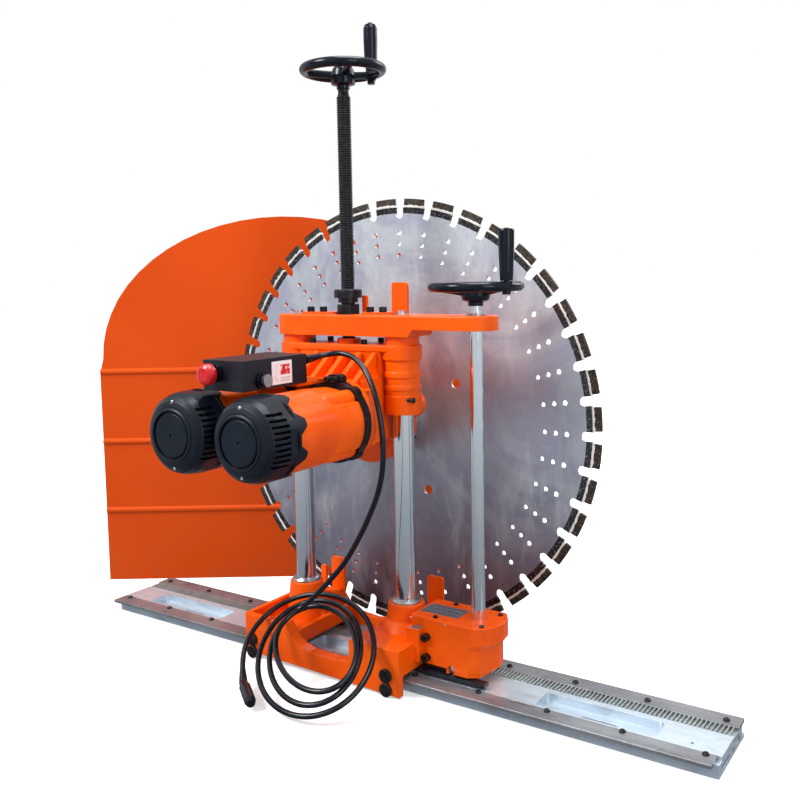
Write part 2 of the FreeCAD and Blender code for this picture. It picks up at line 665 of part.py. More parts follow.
def motor_mount():
    """Plate behind the motors, the neck to the head block, ribs and the box's bracket."""
    left, right = MOTOR_X
    plate = slot_y(left, right, MOTOR_Z, 66.0, MOUNT_Y0, MOUNT_Y1)
    plate = plate.cut(box(left - 80, right + 80, MOUNT_Y0 - 1, MOUNT_Y1 + 1, 300, 405))
    parts = [
        plate,
        box(left - 44, right + 44, MOUNT_Y1 - 1, -81, 405, 494),
        box(-138, 38, -82, -29, HEAD_FLOOR, 506),
        box(-84, -20, -176, -109, 504, 510),
        box(-84, -20, -121, -109, 480, 504),
    ]
    for k in range(5):
        x = -98 + 30 * k
        top = [(x, -111, 490), (x + 9, -111, 490), (x + 9, -34, 548), (x, -34, 548)]
        parts.append(poly(top, (0, 0, -22)))
    return parts


def gear_case():
    left, right = MOTOR_X
    return [
        slot_y(left, right, MOTOR_Z, 24.0, GEAR_Y0, GEAR_Y1),
        cyl_y(HEAD_X, BLADE_Z, GEAR_Y0, GEAR_Y1, 72.0),
    ]


def head_casting():
    casting = fuse(head_block() + motor_mount() + gear_case())
    casting = cut_all(casting, [
        cyl_y(HEAD_X, BLADE_Z, 60, 95, 65.0),
        slot_y(MOTOR_X[0], MOTOR_X[1], MOTOR_Z, 18.5, 60, 95),
        box(-120, 20, -104, -40, 410, 482),
        cyl_z(HEAD_X, 0, 545, 575, 13.0),
        cyl_y(HEAD_X, BLADE_Z, 40, 62, 19.0),
    ])
    for x in MOTOR_X:
        casting = casting.cut(cyl_y(x, MOTOR_Z, -130, 62, 12.0))
        casting = casting.cut(cyl_y(x, MOTOR_Z, -123, -112, 36.0))
    for x in POST_X:
        casting = casting.cut(cyl_z(x, 0, 430, 580, 21.0))
    for x, y in FLANGE_SCREWS:
        casting = casting.cut(cyl_z(x, y, 545, 562, 3.05))
    return casting


def gear_case_cover():
    left, right = MOTOR_X
    cover = fuse([
        slot_y(left, right, MOTOR_Z, 24.0, GEAR_Y1, 100),
        cyl_y(HEAD_X, BLADE_Z, GEAR_Y1, 100, 72.0),
        cone_y(HEAD_X, BLADE_Z, 100, 116, 36, 30),
    ])
    return cover.cut(cyl_y(HEAD_X, BLADE_Z, 90, 120, 19.0))


def head_screws():
    """Screws of the gear case and of the flange, motor screws, one grease nipple."""
    screws = []
    for k in range(8):
        x, z = polar(HEAD_X, BLADE_Z, 68.5, -70 + 45 * k)
        if z < MOTOR_Z - 5 or abs(x - HEAD_X) < 30:
            screws.append(cyl_y(x, z, 100, 105, 4.0))
    for x, y in FLANGE_SCREWS:
        screws.append(cap_screw(x, y, FLANGE_Z1, 5.5, 8.0, 3.0, 12))
    for x in MOTOR_X:
        for dx in (-2.0, 11.0):
            head = cyl_y(x + dx, MOTOR_Z + 69.0, -149, -137, 4.6)
            screws.append(head.cut(prism_y(hexagon(x + dx, MOTOR_Z + 69.0, 2.4), -150, -145)))
    x = POST_X[1] + 31.5
    nipple = fuse([cyl_x(-20, 470, x - 9, x + 4.5, 3.0), cyl_x(-20, 470, x + 0.5, x + 3.5, 4.5)])
    screws.append(nipple.cut(post_sleeve(POST_X[1])))
    return screws


def make_head():
    save("head_casting", head_casting())
    save("gear_case_cover", gear_case_cover())
    save("head_screws", head_screws())
    bushes = []
    for x in POST_X:
        bushes.append(ring_z(x, 0, 445, 485, POST_R + 0.05, 21.0))
        bushes.append(ring_z(x, 0, 533, PLATE_Z0 - 0.5, POST_R + 0.05, 21.0))
    save("post_bushes", bushes)
    bearings = [
        ring_y(HEAD_X, BLADE_Z, 46, 60, 14.05, 19.0),
        ring_y(HEAD_X, BLADE_Z, 101, 115, 14.05, 19.0),
        ring_z(HEAD_X, 0, 549, 560, 10.05, 13.0),
    ]
    for x in MOTOR_X:
        front = [(8.05, -143), (16.0, -143), (16.0, -128), (8.05, -128)]
        bearings.append(rev_y(x, MOTOR_Z, front))
        bearings.append(ring_y(x, MOTOR_Z, 40, 52, 8.05, 12.0))
    save("head_bearings", bearings)


# ---------------------------------------------------------------- motors
BOSS_ANGLES = (52, 128, 232, 308)


def motor_housing(x):
    """Orange field housing: barrel, side bulges at the gear end and four long bosses."""
    barrel = [(0, -289), (56.5, -289), (59.0, -284), (59.6, -262), (59.6, -200)]
    barrel += [(57, -150), (54, -137), (0, -137)]
    bulge = [(0, -198), (58, -198), (63, -186), (65.5, -168), (65.0, -150), (62.5, -137), (0, -137)]
    sides = rev_y(x, MOTOR_Z, bulge).common(box(x - 70, x + 70, -200, -130, MOTOR_Z - 36, MOTOR_Z + 36))
    housing = rev_y(x, MOTOR_Z, barrel).fuse(sides)
    for angle in BOSS_ANGLES:
        bx, bz = polar(x, MOTOR_Z, 48.5, angle)
        boss = [(0, -216), (7, -214), (13, -200), (15, -186), (15, -137), (0, -137)]
        housing = housing.fuse(rev_y(bx, bz, boss))
    hollow = [(0, -292), (54, -292), (55.2, -284), (56, -262), (56, -175), (50, -150), (46, -143), (0, -143)]
    housing = housing.removeSplitter().cut(rev_y(x, MOTOR_Z, hollow))
    return housing.cut(cyl_y(x, MOTOR_Z, -150, -130, 16.0))


def motor_cap(x):
    """Black fan cap: round disc in front, eight flats, air slots and a notched skirt."""
    outer = [(0, -346), (43, -346), (50, -343.5), (57, -337), (61, -326), (63, -308), (63, -270), (0, -270)]
    cap = rev_y(x, MOTOR_Z, outer)
    octagon = [polar(x, MOTOR_Z, 60.4 / math.cos(math.pi / 8), 22.5 + 45 * k) for k in range(8)]
    skirt = rev_y(x, MOTOR_Z, [(0, -290), (63, -290), (63, -270), (0, -270)])
    cap = cap.common(prism_y(octagon, -350, -285)).fuse(skirt)
    disc = [(0, -348), (32, -348), (33.5, -346.5), (33.5, -344), (0, -344)]
    rim = [(36.5, -344), (36.5, -348), (38.5, -348.5), (40.5, -347), (40.5, -344)]
    groove = ring_y(x, MOTOR_Z, -350, -343.5, 33.5, 36.5)
    cap = fuse([cap, rev_y(x, MOTOR_Z, disc), rev_y(x, MOTOR_Z, rim)]).cut(groove)
    hollow = [(0, -340), (44, -340), (52, -333), (56.5, -320), (57.5, -300), (57.5, -291)]
    hollow += [(60.6, -290), (60.6, -260), (0, -260)]
    cap = cap.cut(rev_y(x, MOTOR_Z, hollow))
    notch = poly([(-19, 0, 0), (19, 0, 0), (8, -16, 0), (-8, -16, 0)], (0, 0, 20))
    for k in range(8):
        tool = notch.copy()
        tool.translate(V(x, -269.9, MOTOR_Z + 52))
        tool.rotate(V(x, 0, MOTOR_Z), V(0, 1, 0), 45 * k)
        cap = cap.cut(tool)
    for k in range(10):
        z = MOTOR_Z - 34 + 8 * k
        for x0, x1 in ((x - 80, x - 34), (x + 34, x + 80)):
            cap = cap.cut(box(x0, x1, -336, -306, z, z + 3.8))
    for angle in (90, 270):
        px, pz = polar(x, MOTOR_Z, 49.5, angle)
        cap = cap.cut(cyl_y(px, pz, -350, -341.5, 3.2))
    return cap.cut(cyl_y(x, MOTOR_Z, -350, -346.5, 3.0)).removeSplitter()


def motor_adapter(x):
    """Black lobed ring between the field housing and the mount plate."""
    parts = [cyl_y(x, MOTOR_Z, -137, MOUNT_Y0, 65.0)]
    for angle in BOSS_ANGLES:
        bx, bz = polar(x, MOTOR_Z, 53.5, angle)
        parts.append(cyl_y(bx, bz, -137, MOUNT_Y0, 15.8))
    parts.append(slot_y(x - 2, x + 11, MOTOR_Z + 68, 7.5, -137, MOUNT_Y0))
    return fuse(parts).cut(cyl_y(x, MOTOR_Z, -140, -120, 44.0))


def armature(x):
    """Shaft with core, fan and pinion; a pinion gap faces the wheel tooth between the axes."""
    line = math.atan2(MOTOR_Z - BLADE_Z, x - HEAD_X)
    tooth = 2 * math.pi / GEAR_T
    turn = ((line / tooth) % 1.0) * 2 * math.pi / PIN_T
    parts = [
        cyl_y(x, MOTOR_Z, -300, 90, 8.0),
        cyl_y(x, MOTOR_Z, -255, -175, 32.0),
        spur(x, MOTOR_Z, 63, 86, GEAR_M, PIN_T, line + math.pi + math.pi / PIN_T + turn),
        cyl_y(x, MOTOR_Z, -284, -281, 46.0),
        cyl_y(x, MOTOR_Z, -298, -280, 14.0),
    ]
    for k in range(6):
        vane = box(x + 8, x + 44, -296, -284, MOTOR_Z - 1.2, MOTOR_Z + 1.2)
        vane.rotate(V(x, 0, MOTOR_Z), V(0, 1, 0), 60 * k)
        parts.append(vane)
    return fuse(parts)


def make_motors():
    save("motor_housings", [motor_housing(x) for x in MOTOR_X])
    save("motor_caps", [motor_cap(x) for x in MOTOR_X])
    save("motor_adapter", [motor_adapter(x) for x in MOTOR_X])
    save("motor_stators", [ring_y(x, MOTOR_Z, -250, -180, 34.0, 54.5) for x in MOTOR_X])
    save("armature_left", armature(MOTOR_X[0]))
    save("armature_right", armature(MOTOR_X[1]))


# ---------------------------------------------------------------- control box
CB_X0, CB_X1, CB_Y0, CB_Y1, CB_Z0, CB_Z1 = -93.0, -12.0, -303.0, -160.0, 510.0, 555.0
STOP_X, STOP_Z = -64.0, 536.0
SWITCH_Y, SWITCH_Z = -265.0, 524.0
GLAND_X, GLAND_Z = -30.0, 543.0


def control_box():
    case = soften(box(CB_X0, CB_X1, CB_Y0, CB_Y1, CB_Z0, CB_Z1), 2.0, upright)
    inside = box(CB_X0 + 2, CB_X1 - 2, CB_Y0 + 2, CB_Y1 - 2, CB_Z0 + 2, CB_Z1 - 2)
    return cut_all(case, [
        inside,
        cyl_y(STOP_X, STOP_Z, CB_Y0 - 2, CB_Y0 + 4, 8.05),
        cyl_x(SWITCH_Y, SWITCH_Z, CB_X1 - 4, CB_X1 + 2, 8.05),
        cyl_y(GLAND_X, GLAND_Z, CB_Y1 - 4, CB_Y1 + 2, 8.0),
    ])


def cable_gland():
    bore, y = CABLE_R + 0.1, CB_Y1
    outline = [(bore, y - 8), (8, y - 8), (8, y), (10, y), (10, y + 5), (9, y + 5)]
    outline += [(bore + 1, y + 16), (bore, y + 16)]
    return rev_y(GLAND_X, GLAND_Z, outline)


def make_control_box():
    save("control_box", control_box())
    save("box_label", box(CB_X1, CB_X1 + 0.6, -242, -197, 514, 549))
    save("cable_gland", cable_gland())
    y = CB_Y0
    stop_collar = fuse([
        ring_y(STOP_X, STOP_Z, y - 6, y, 6.06, 13.5),
        ring_y(STOP_X, STOP_Z, y, y + 12, 6.06, 8.0),
    ])
    switch_collar = fuse([
        cyl_x(SWITCH_Y, SWITCH_Z, CB_X1, CB_X1 + 5, 13.0),
        cyl_x(SWITCH_Y, SWITCH_Z, CB_X1 - 10, CB_X1, 8.0),
    ]).cut(cyl_x(SWITCH_Y, SWITCH_Z, CB_X1 - 12, CB_X1 + 8, 6.06))
    save("switch_bezels", [stop_collar, switch_collar])
    mushroom = [(0, -333), (10, -332), (14.5, -329), (16, -325), (15.5, -318), (12, -315), (6, -314.5)]
    save("stop_button", rev_y(STOP_X, STOP_Z, mushroom + [(6, -292), (0, -292)]))
    save("power_switch", fuse([
        cyl_x(SWITCH_Y, SWITCH_Z, CB_X1 + 8.4, CB_X1 + 14, 9.5),
        cyl_x(SWITCH_Y, SWITCH_Z, CB_X1 - 12, CB_X1 + 8.4, 6.0),
    ]))


# ---------------------------------------------------------------- lead screw
SCREW_TOP = 990.0


def lead_screw():
    """Screw from the thrust bearing in the head to the handwheel; grooves at its pitch."""
    root = SCREW_R - 1.5
    outline = [(0, 549.5), (10.0, 549.5), (10.0, 563), (root, 564)]
    z = 566.0
    while z < SCREW_TOP - 16:
        outline += [(root, z), (SCREW_R, z + 1.0), (SCREW_R, z + 2.4), (root, z + 3.4)]
        z += SCREW_PITCH
    outline += [(root, z), (9.0, SCREW_TOP - 10), (9.0, SCREW_TOP + 40), (0, SCREW_TOP + 40)]
    return rev_z(HEAD_X, 0, outline)


# ---------------------------------------------------------------- spindle and blade
BORE_R = 12.7
CORE_R = BLADE_R - SEGMENT_H
GULLET_R, GULLET_DEEP = 8.0, 372.0    # half width, and radius of the centre of its round bottom
FIRST_GULLET = 7.5                    # degrees
HOLE_ROWS = ((338, 4.6), (318, 4.2), (298, 4.0))
BIG_HOLES = ((75.0, 479.0), (13.0, 278.0), (-188.0, 351.0))


def spindle():
    outline = [(0, 44), (14.0, 44), (14.0, 117), (15.0, 117), (15.0, 134)]
    return rev_y(HEAD_X, BLADE_Z, outline + [(BORE_R, 134), (BORE_R, 160), (0, 160)])


def spindle_gear():
    gear = spur(HEAD_X, BLADE_Z, 64, 84, GEAR_M, GEAR_T).cut(cyl_y(HEAD_X, BLADE_Z, 60, 90, 14.0))
    for k in range(6):
        x, z = polar(HEAD_X, BLADE_Z, 36, 60 * k)
        gear = gear.cut(cyl_y(x, z, 60, 90, 10.0))
    return gear


def blade_flanges():
    near, far = BLADE_Y - BLADE_T / 2, BLADE_Y + BLADE_T / 2
    inner = [(15.0, 122), (34, 122), (50, 130), (50, near), (BORE_R, near), (BORE_R, 134), (15.0, 134)]
    outer = [(BORE_R, far), (50, far), (50, 158), (40, 164), (BORE_R, 164)]
    bolt_head = prism_y(hexagon(HEAD_X, BLADE_Z, 19), 164, 176)
    return [rev_y(HEAD_X, BLADE_Z, inner), fuse([rev_y(HEAD_X, BLADE_Z, outer), bolt_head])]


def blade_core():
    y0, y1 = BLADE_Y - 5, BLADE_Y + 5
    disc = cyl_y(HEAD_X, BLADE_Z, BLADE_Y - BLADE_T / 2, BLADE_Y + BLADE_T / 2, CORE_R)
    tools = [cyl_y(HEAD_X, BLADE_Z, y0, y1, BORE_R)]
    for k in range(SEGMENTS):
        angle = FIRST_GULLET + 360.0 / SEGMENTS * k
        gullet = box(HEAD_X + GULLET_DEEP, HEAD_X + BLADE_R, y0, y1, BLADE_Z - GULLET_R, BLADE_Z + GULLET_R)
        gullet.rotate(V(HEAD_X, 0, BLADE_Z), V(0, -1, 0), angle)
        tools.append(gullet)
        for r, hole_r in ((GULLET_DEEP, GULLET_R),) + HOLE_ROWS:
            x, z = polar(HEAD_X, BLADE_Z, r, angle)
            tools.append(cyl_y(x, z, y0, y1, hole_r))
    for x, z in BIG_HOLES:
        tools.append(cyl_y(x, z, y0, y1, 9.0))
    return disc.cut(Part.makeCompound(tools))


def blade_segments():
    """Diamond segments, cut from one ring so that each foot follows the rim of the core."""
    ring = ring_y(HEAD_X, BLADE_Z, BLADE_Y - SEGMENT_T / 2, BLADE_Y + SEGMENT_T / 2, CORE_R, BLADE_R)
    segments = []
    for k in range(SEGMENTS):
        angle = FIRST_GULLET + 360.0 / SEGMENTS * (k + 0.5)
        window = box(HEAD_X + 370, HEAD_X + 410, BLADE_Y - 5, BLADE_Y + 5, BLADE_Z - 20.3, BLADE_Z + 20.3)
        window.rotate(V(HEAD_X, 0, BLADE_Z), V(0, -1, 0), angle)
        segments.append(ring.common(window))
    return segments


def make_blade():
    save("spindle", spindle())
    save("spindle_gear", spindle_gear())
    save("blade_flanges", blade_flanges())
    save("blade_core", blade_core())
    save("blade_segments", blade_segments())


# ---------------------------------------------------------------- standing hood
HOOD_SHOULDER, HOOD_SPRING = 470.0, 500.0    # where the sides end and the arch starts


def hood_outline(inset):
    """Half-width, upright sides and an elliptical arch, as (x, z) points."""
    w, top = GUARD_W / 2 - inset, GUARD_H - inset
    outline = [(-w, 0), (-w, HOOD_SHOULDER)]
    for i in range(29):
        t = math.pi - math.pi * i / 28
        outline.append(((w - 8) * math.cos(t), HOOD_SPRING + (top - HOOD_SPRING) * math.sin(t)))
    return outline + [(w, HOOD_SHOULDER), (w, 0)]


def blade_guard():
    """Sheet box, open below, with three pressed ribs across the front."""
    t = GUARD_SHEET
    hood = prism_y(hood_outline(0), 0, GUARD_D).cut(prism_y(hood_outline(t), t, GUARD_D - t))
    hood = hood.cut(box(-GUARD_W / 2 + t, GUARD_W / 2 - t, t, GUARD_D - t, -5, 5))
    ribs = []
    for z in (160.0, 316.0, 472.0):
        w = GUARD_W / 2 - (0.2 if z < HOOD_SHOULDER else 1.0)
        ribs.append(prism_x([(0.5, z - 7), (-4, z - 2.5), (-4, z + 2.5), (0.5, z + 7)], -w, w))
    hood = fuse([hood] + ribs)
    hood.rotate(V(0, 0, 0), V(0, 0, 1), GUARD_TURN)
    hood.translate(V(*GUARD_AT, 0))
    return hood


# ---------------------------------------------------------------- cable
# The coil leans on the carriage: its plane is tilted, and each turn is wider than the last.
COIL_C = V(-12, -152, 53.6)
COIL_W = V(0, 0.867, 0.4985)          # up the slope of the coil
COIL_N = V(0, -0.4985, 0.867)         # out of the coil
COIL_FROM, COIL_TO = 0.39, 3.62       # turns
PLUG_DIR = V(0.80, -0.6, -0.06)


def coil_point(f):
    """Middle of the cable at the fraction f of the coil."""
    turn = COIL_FROM + (COIL_TO - COIL_FROM) * f
    k, t = turn - 2, 2 * math.pi * turn
    x = -4 - 9 * k + (93 + 18 * k + 8 * k * k) * math.cos(t) - 31 * math.sin(t)
    w = 1 + 2 * k + 2 * k * k + (98 + 18 * k - k * k) * math.sin(t)
    return COIL_C + V(x, 0, 0) + COIL_W * w + COIL_N * (5 + 34 * (1 - f))


COIL_START = coil_point(0.0)
COIL_START_DIR = unit(coil_point(0.002) - COIL_START)
RUN_END_2 = COIL_START - COIL_START_DIR * 24
RUN_END_1 = RUN_END_2 - unit(V(-0.75, -0.13, -0.63)) * 26
CABLE_ROUTE = [V(GLAND_X, -144, GLAND_Z), V(-30, -120, 545), V(-18, -99, 549), V(5, -89, 551)]
CABLE_ROUTE += [V(37, -93, 542), V(70, -107, 515), V(98, -121, 466), V(107, -125, 405)]
CABLE_ROUTE += [V(97, -122, 348), V(68, -116, 292), V(33, -106, 241), V(-3, -96, 196)]
CABLE_ROUTE += [RUN_END_1, RUN_END_2, COIL_START]


def tube(route, r):
    """Straight runs joined by tangent arcs, swept with a circle."""
    pieces = []
    at = route[0]
    for a, b, c in zip(route, route[1:], route[2:]):
        u, w = unit(b - a), unit(c - b)
        turn = math.acos(max(-1, min(1, u.dot(w))))
        cut = 0.45 * min((b - a).Length, (c - b).Length)
        bend_r = cut / math.tan(turn / 2)
        start, end = b - u * cut, b + w * cut
        inward = unit(w - u)
        middle = b + inward * (bend_r / math.cos(turn / 2) - bend_r)
        if (start - at).Length > 1e-6:
            pieces.append(Part.makeLine(at, start))
        pieces.append(Part.Arc(start, middle, end).toShape())
        at = end
    pieces.append(Part.makeLine(at, route[-1]))
    section = Part.Wire([Part.Circle(route[0], route[1] - route[0], r).toShape()])
    return Part.Wire(pieces).makePipeShell([section], True, True)


def cable_coil():
    steps = 56
    curve = Part.BSplineCurve()
    curve.interpolate([coil_point(i / steps) for i in range(steps + 1)])
    section = Part.Wire([Part.Circle(COIL_START, COIL_START_DIR, CABLE_R).toShape()])
    return Part.Wire([curve.toShape()]).makePipeShell([section], True, True)


def make_cable():
    save("cable_run", tube(CABLE_ROUTE, CABLE_R))
    coil = cable_coil()
    save("cable_coil", coil)
    end, d = coil_point(1.0), unit(PLUG_DIR)
    plug = fuse([
        along(end - d * 2, d, 16, 6.5, 8.5),
        along(end + d * 14, d, 46, 9.2, 9.2),
        along(end + d * 60, d, 8, 9.2, 7.0),
    ])
    save("cable_plug", plug.cut(coil))


os.makedirs("parts", exist_ok=True)
make_track()
save("carriage_casting", carriage_casting())
make_rollers()
make_travel_drive()
make_travel_wheel()
make_top()
make_head()
make_motors()
make_control_box()
save("lead_screw", lead_screw())
make_lift_wheel()
make_blade()
save("blade_guard", blade_guard())
make_cable()
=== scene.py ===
import json
import math

import bmesh
import bpy
from mathutils import Matrix, Vector


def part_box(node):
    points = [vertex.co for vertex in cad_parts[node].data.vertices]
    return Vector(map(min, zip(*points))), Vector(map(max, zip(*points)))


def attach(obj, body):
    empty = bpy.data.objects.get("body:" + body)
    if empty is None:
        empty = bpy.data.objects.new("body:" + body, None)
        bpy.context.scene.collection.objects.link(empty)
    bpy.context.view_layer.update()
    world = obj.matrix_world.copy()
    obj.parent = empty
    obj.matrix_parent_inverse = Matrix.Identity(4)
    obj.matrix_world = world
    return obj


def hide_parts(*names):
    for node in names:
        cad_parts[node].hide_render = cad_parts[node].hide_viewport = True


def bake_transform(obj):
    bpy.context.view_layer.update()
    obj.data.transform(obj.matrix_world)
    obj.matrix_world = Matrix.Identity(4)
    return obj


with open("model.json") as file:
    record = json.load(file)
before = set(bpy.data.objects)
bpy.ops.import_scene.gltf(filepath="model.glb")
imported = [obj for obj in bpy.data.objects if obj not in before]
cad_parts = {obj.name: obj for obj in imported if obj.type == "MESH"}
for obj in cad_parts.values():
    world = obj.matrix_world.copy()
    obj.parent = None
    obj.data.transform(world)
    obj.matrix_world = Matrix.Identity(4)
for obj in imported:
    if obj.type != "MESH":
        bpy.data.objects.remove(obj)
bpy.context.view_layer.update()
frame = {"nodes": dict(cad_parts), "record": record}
NODES = frame["nodes"]
scene = bpy.context.scene
scene.view_settings.view_transform = "Standard"


def centre_of(node):
    """Middle of a CAD node's box, in metres."""
    low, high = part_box(node)
    return [(a + b) / 2 for a, b in zip(low, high)]


# ------------------------------------------------------------------ camera
CAMERA_PLACE = (0.90028, -1.25451, 0.67388)
CAMERA_AZIMUTH, CAMERA_PITCH, CAMERA_ROLL = 33.97, 5.54, -1.01    # degrees
CAMERA_LENS, CAMERA_SHIFT = 41.08, -0.0453


def add_camera():
    """Three-quarter front view, a little from above, level but for a slight roll."""
    azimuth, pitch, roll = (math.radians(a) for a in (CAMERA_AZIMUTH, CAMERA_PITCH, CAMERA_ROLL))
    level_forward = Vector((-math.sin(azimuth), math.cos(azimuth), 0.0))
    forward = level_forward * math.cos(pitch) - Vector((0, 0, 1)) * math.sin(pitch)
    level_right = Vector((math.cos(azimuth), math.sin(azimuth), 0.0))
    level_up = level_right.cross(forward)
    right = level_right * math.cos(roll) + level_up * math.sin(roll)
    up = level_up * math.cos(roll) - level_right * math.sin(roll)
    data = bpy.data.cameras.new("camera")
    data.lens = CAMERA_LENS
    data.sensor_width = 36.0
    data.shift_y = CAMERA_SHIFT
    data.clip_start, data.clip_end = 0.05, 60.0
    camera = bpy.data.objects.new("camera", data)
    scene.collection.objects.link(camera)
    turn = Matrix((right, up, -forward)).transposed().to_4x4()
    camera.matrix_world = Matrix.Translation(CAMERA_PLACE) @ turn
    scene.camera = camera


add_camera()


# ------------------------------------------------------------------ materials
MIX_COLOUR_INPUTS = (0, 6, 7)     # factor and the two colours of a Mix node
MIX_COLOUR_OUTPUT = 2


class Material:
    """A node material around one Principled shader, with short calls for its nodes.

    Patterns use object coordinates, which are metres in the frame of the part.
    """

    def __init__(self, name, base, rough=0.5, metal=0.0, coat=0.0, coat_rough=0.1, shine=0.5):
        self.material = bpy.data.materials.new(name)
        self.material.use_nodes = True
        self.tree = self.material.node_tree
        self.shader = self.tree.nodes["Principled BSDF"]
        self.shader.inputs["Base Color"].default_value = (*base, 1.0)
        self.shader.inputs["Roughness"].default_value = rough
        self.shader.inputs["Metallic"].default_value = metal
        self.shader.inputs["Coat Weight"].default_value = coat
        self.shader.inputs["Coat Roughness"].default_value = coat_rough
        self.shader.inputs["Specular IOR Level"].default_value = shine
        self.material.diffuse_color = (*base, 1.0)
        self.object = self.tree.nodes.new("ShaderNodeTexCoord").outputs["Object"]

    def put(self, socket, value):
        """Link a node's output to a socket, or set its value."""
        if isinstance(value, bpy.types.NodeSocket):
            self.tree.links.new(value, socket)
        elif isinstance(value, (tuple, list)) and len(value) == 3 and socket.type == "RGBA":
            socket.default_value = (*value, 1.0)
        else:
            socket.default_value = value

    def node(self, kind, inputs=(), **settings):
        made = self.tree.nodes.new(kind)
        for key, value in settings.items():
            setattr(made, key, value)
        for key, value in dict(inputs).items():
            self.put(made.inputs[key], value)
        return made

    def mapped(self, scale=(1, 1, 1), turn=(0, 0, 0), shift=(0, 0, 0)):
        inputs = {"Vector": self.object, "Scale": scale, "Rotation": turn, "Location": shift}
        return self.node("ShaderNodeMapping", inputs).outputs["Vector"]

    def noise(self, vector, scale, detail=4.0, rough=0.55, distort=0.0):
        inputs = {"Vector": vector, "Scale": scale, "Detail": detail, "Roughness": rough,
                  "Distortion": distort}
        return self.node("ShaderNodeTexNoise", inputs).outputs["Fac"]

    def ramp(self, value, stops):
        """Colour by value, from (place, colour) stops."""
        made = self.node("ShaderNodeValToRGB", {"Fac": value})
        elements = made.color_ramp.elements
        while len(elements) < len(stops):
            elements.new(0.5)
        for element, (place, colour) in zip(elements, stops):
            element.position = place
            element.color = (*colour, 1.0)
        return made.outputs["Color"]

    def mix(self, amount, first, second):
        """From the first colour at 0 to the second at 1."""
        made = self.node("ShaderNodeMix", data_type="RGBA")
        factor, colour_a, colour_b = (made.inputs[i] for i in MIX_COLOUR_INPUTS)
        self.put(factor, amount)
        self.put(colour_a, first)
        self.put(colour_b, second)
        return made.outputs[MIX_COLOUR_OUTPUT]

    def math(self, operation, first, second=0.0):
        return self.node("ShaderNodeMath", {0: first, 1: second}, operation=operation).outputs[0]

    def times(self, first, second):
        return self.math("MULTIPLY", first, second)

    def span(self, value, low, high, to_low=0.0, to_high=1.0):
        """Map low..high to to_low..to_high, held at both ends."""
        inputs = {"Value": value, "From Min": low, "From Max": high, "To Min": to_low, "To Max": to_high}
        return self.node("ShaderNodeMapRange", inputs).outputs["Result"]

    def inside(self, value, low, high):
        """1 between low and high, 0 elsewhere."""
        return self.times(self.math("GREATER_THAN", value, low), self.math("LESS_THAN", value, high))

    def axes(self, vector=None):
        made = self.node("ShaderNodeSeparateXYZ", {"Vector": vector or self.object})
        return made.outputs["X"], made.outputs["Y"], made.outputs["Z"]

    def join(self, x, y, z):
        return self.node("ShaderNodeCombineXYZ", {"X": x, "Y": y, "Z": z}).outputs["Vector"]

    def rounded(self, radius):
        """(normal with softened edges, 0..1 mask that is high on edges)."""
        soft = self.node("ShaderNodeBevel", {"Radius": radius}, samples=4).outputs["Normal"]
        sharp = self.node("ShaderNodeNewGeometry").outputs["Normal"]
        dot = self.node("ShaderNodeVectorMath", {0: soft, 1: sharp}, operation="DOT_PRODUCT")
        return soft, self.span(dot.outputs["Value"], 0.995, 0.90)

    def bump(self, height, strength, distance=0.001, normal=None):
        inputs = {"Height": height, "Strength": strength, "Distance": distance}
        if normal:
            inputs["Normal"] = normal
        return self.node("ShaderNodeBump", inputs).outputs["Normal"]

    def use(self, base, rough, normal=None):
        """Feed the shader and give back the finished material."""
        self.put(self.shader.inputs["Base Color"], base)
        self.put(self.shader.inputs["Roughness"], rough)
        if normal:
            self.put(self.shader.inputs["Normal"], normal)
        return self.material


def scaled(colour, factor):
    return tuple(min(1.0, c * factor) for c in colour)


def casting_paint():
    """Gloss paint on sand castings: slight cast texture, faint clouding, dust, chips on the edges and a
    painted highlight along them.
    """
    base = (0.88, 0.098, 0.001)
    m = Material("paint_casting", base, rough=0.30, coat=0.05, coat_rough=0.12, shine=0.18)
    clouds = m.noise(m.mapped(), 11.0, 5.0, 0.6)
    colour = m.mix(m.span(clouds, 0.3, 0.72), (0.78, 0.074, 0.0), (0.95, 0.122, 0.002))
    grime = m.span(m.noise(m.mapped(), 38.0, 6.0, 0.7), 0.62, 0.84, 0.0, 0.22)
    colour = m.mix(grime, colour, (0.42, 0.050, 0.006))
    soft, edges = m.rounded(0.0018)
    chips = m.times(edges, m.span(m.noise(m.mapped(), 130.0, 4.0, 0.7), 0.56, 0.68))
    # Painted highlight: the edges are lightened to the orange of lit paint.
    colour = m.mix(m.times(edges, 0.30), colour, (0.99, 0.24, 0.03))
    colour = m.mix(m.times(chips, 0.7), colour, (0.24, 0.20, 0.18))
    skin = m.times(m.noise(m.mapped(), 820.0, 2.0, 0.5), 0.25)
    cast = m.times(m.noise(m.mapped(), 120.0, 4.0, 0.6), 0.75)
    normal = m.bump(m.math("ADD", skin, cast), 0.20, 0.0007, soft)
    rough = m.span(m.noise(m.mapped(), 60.0, 4.0), 0.3, 0.7, 0.24, 0.42)
    return m.use(base=colour, rough=rough, normal=normal)


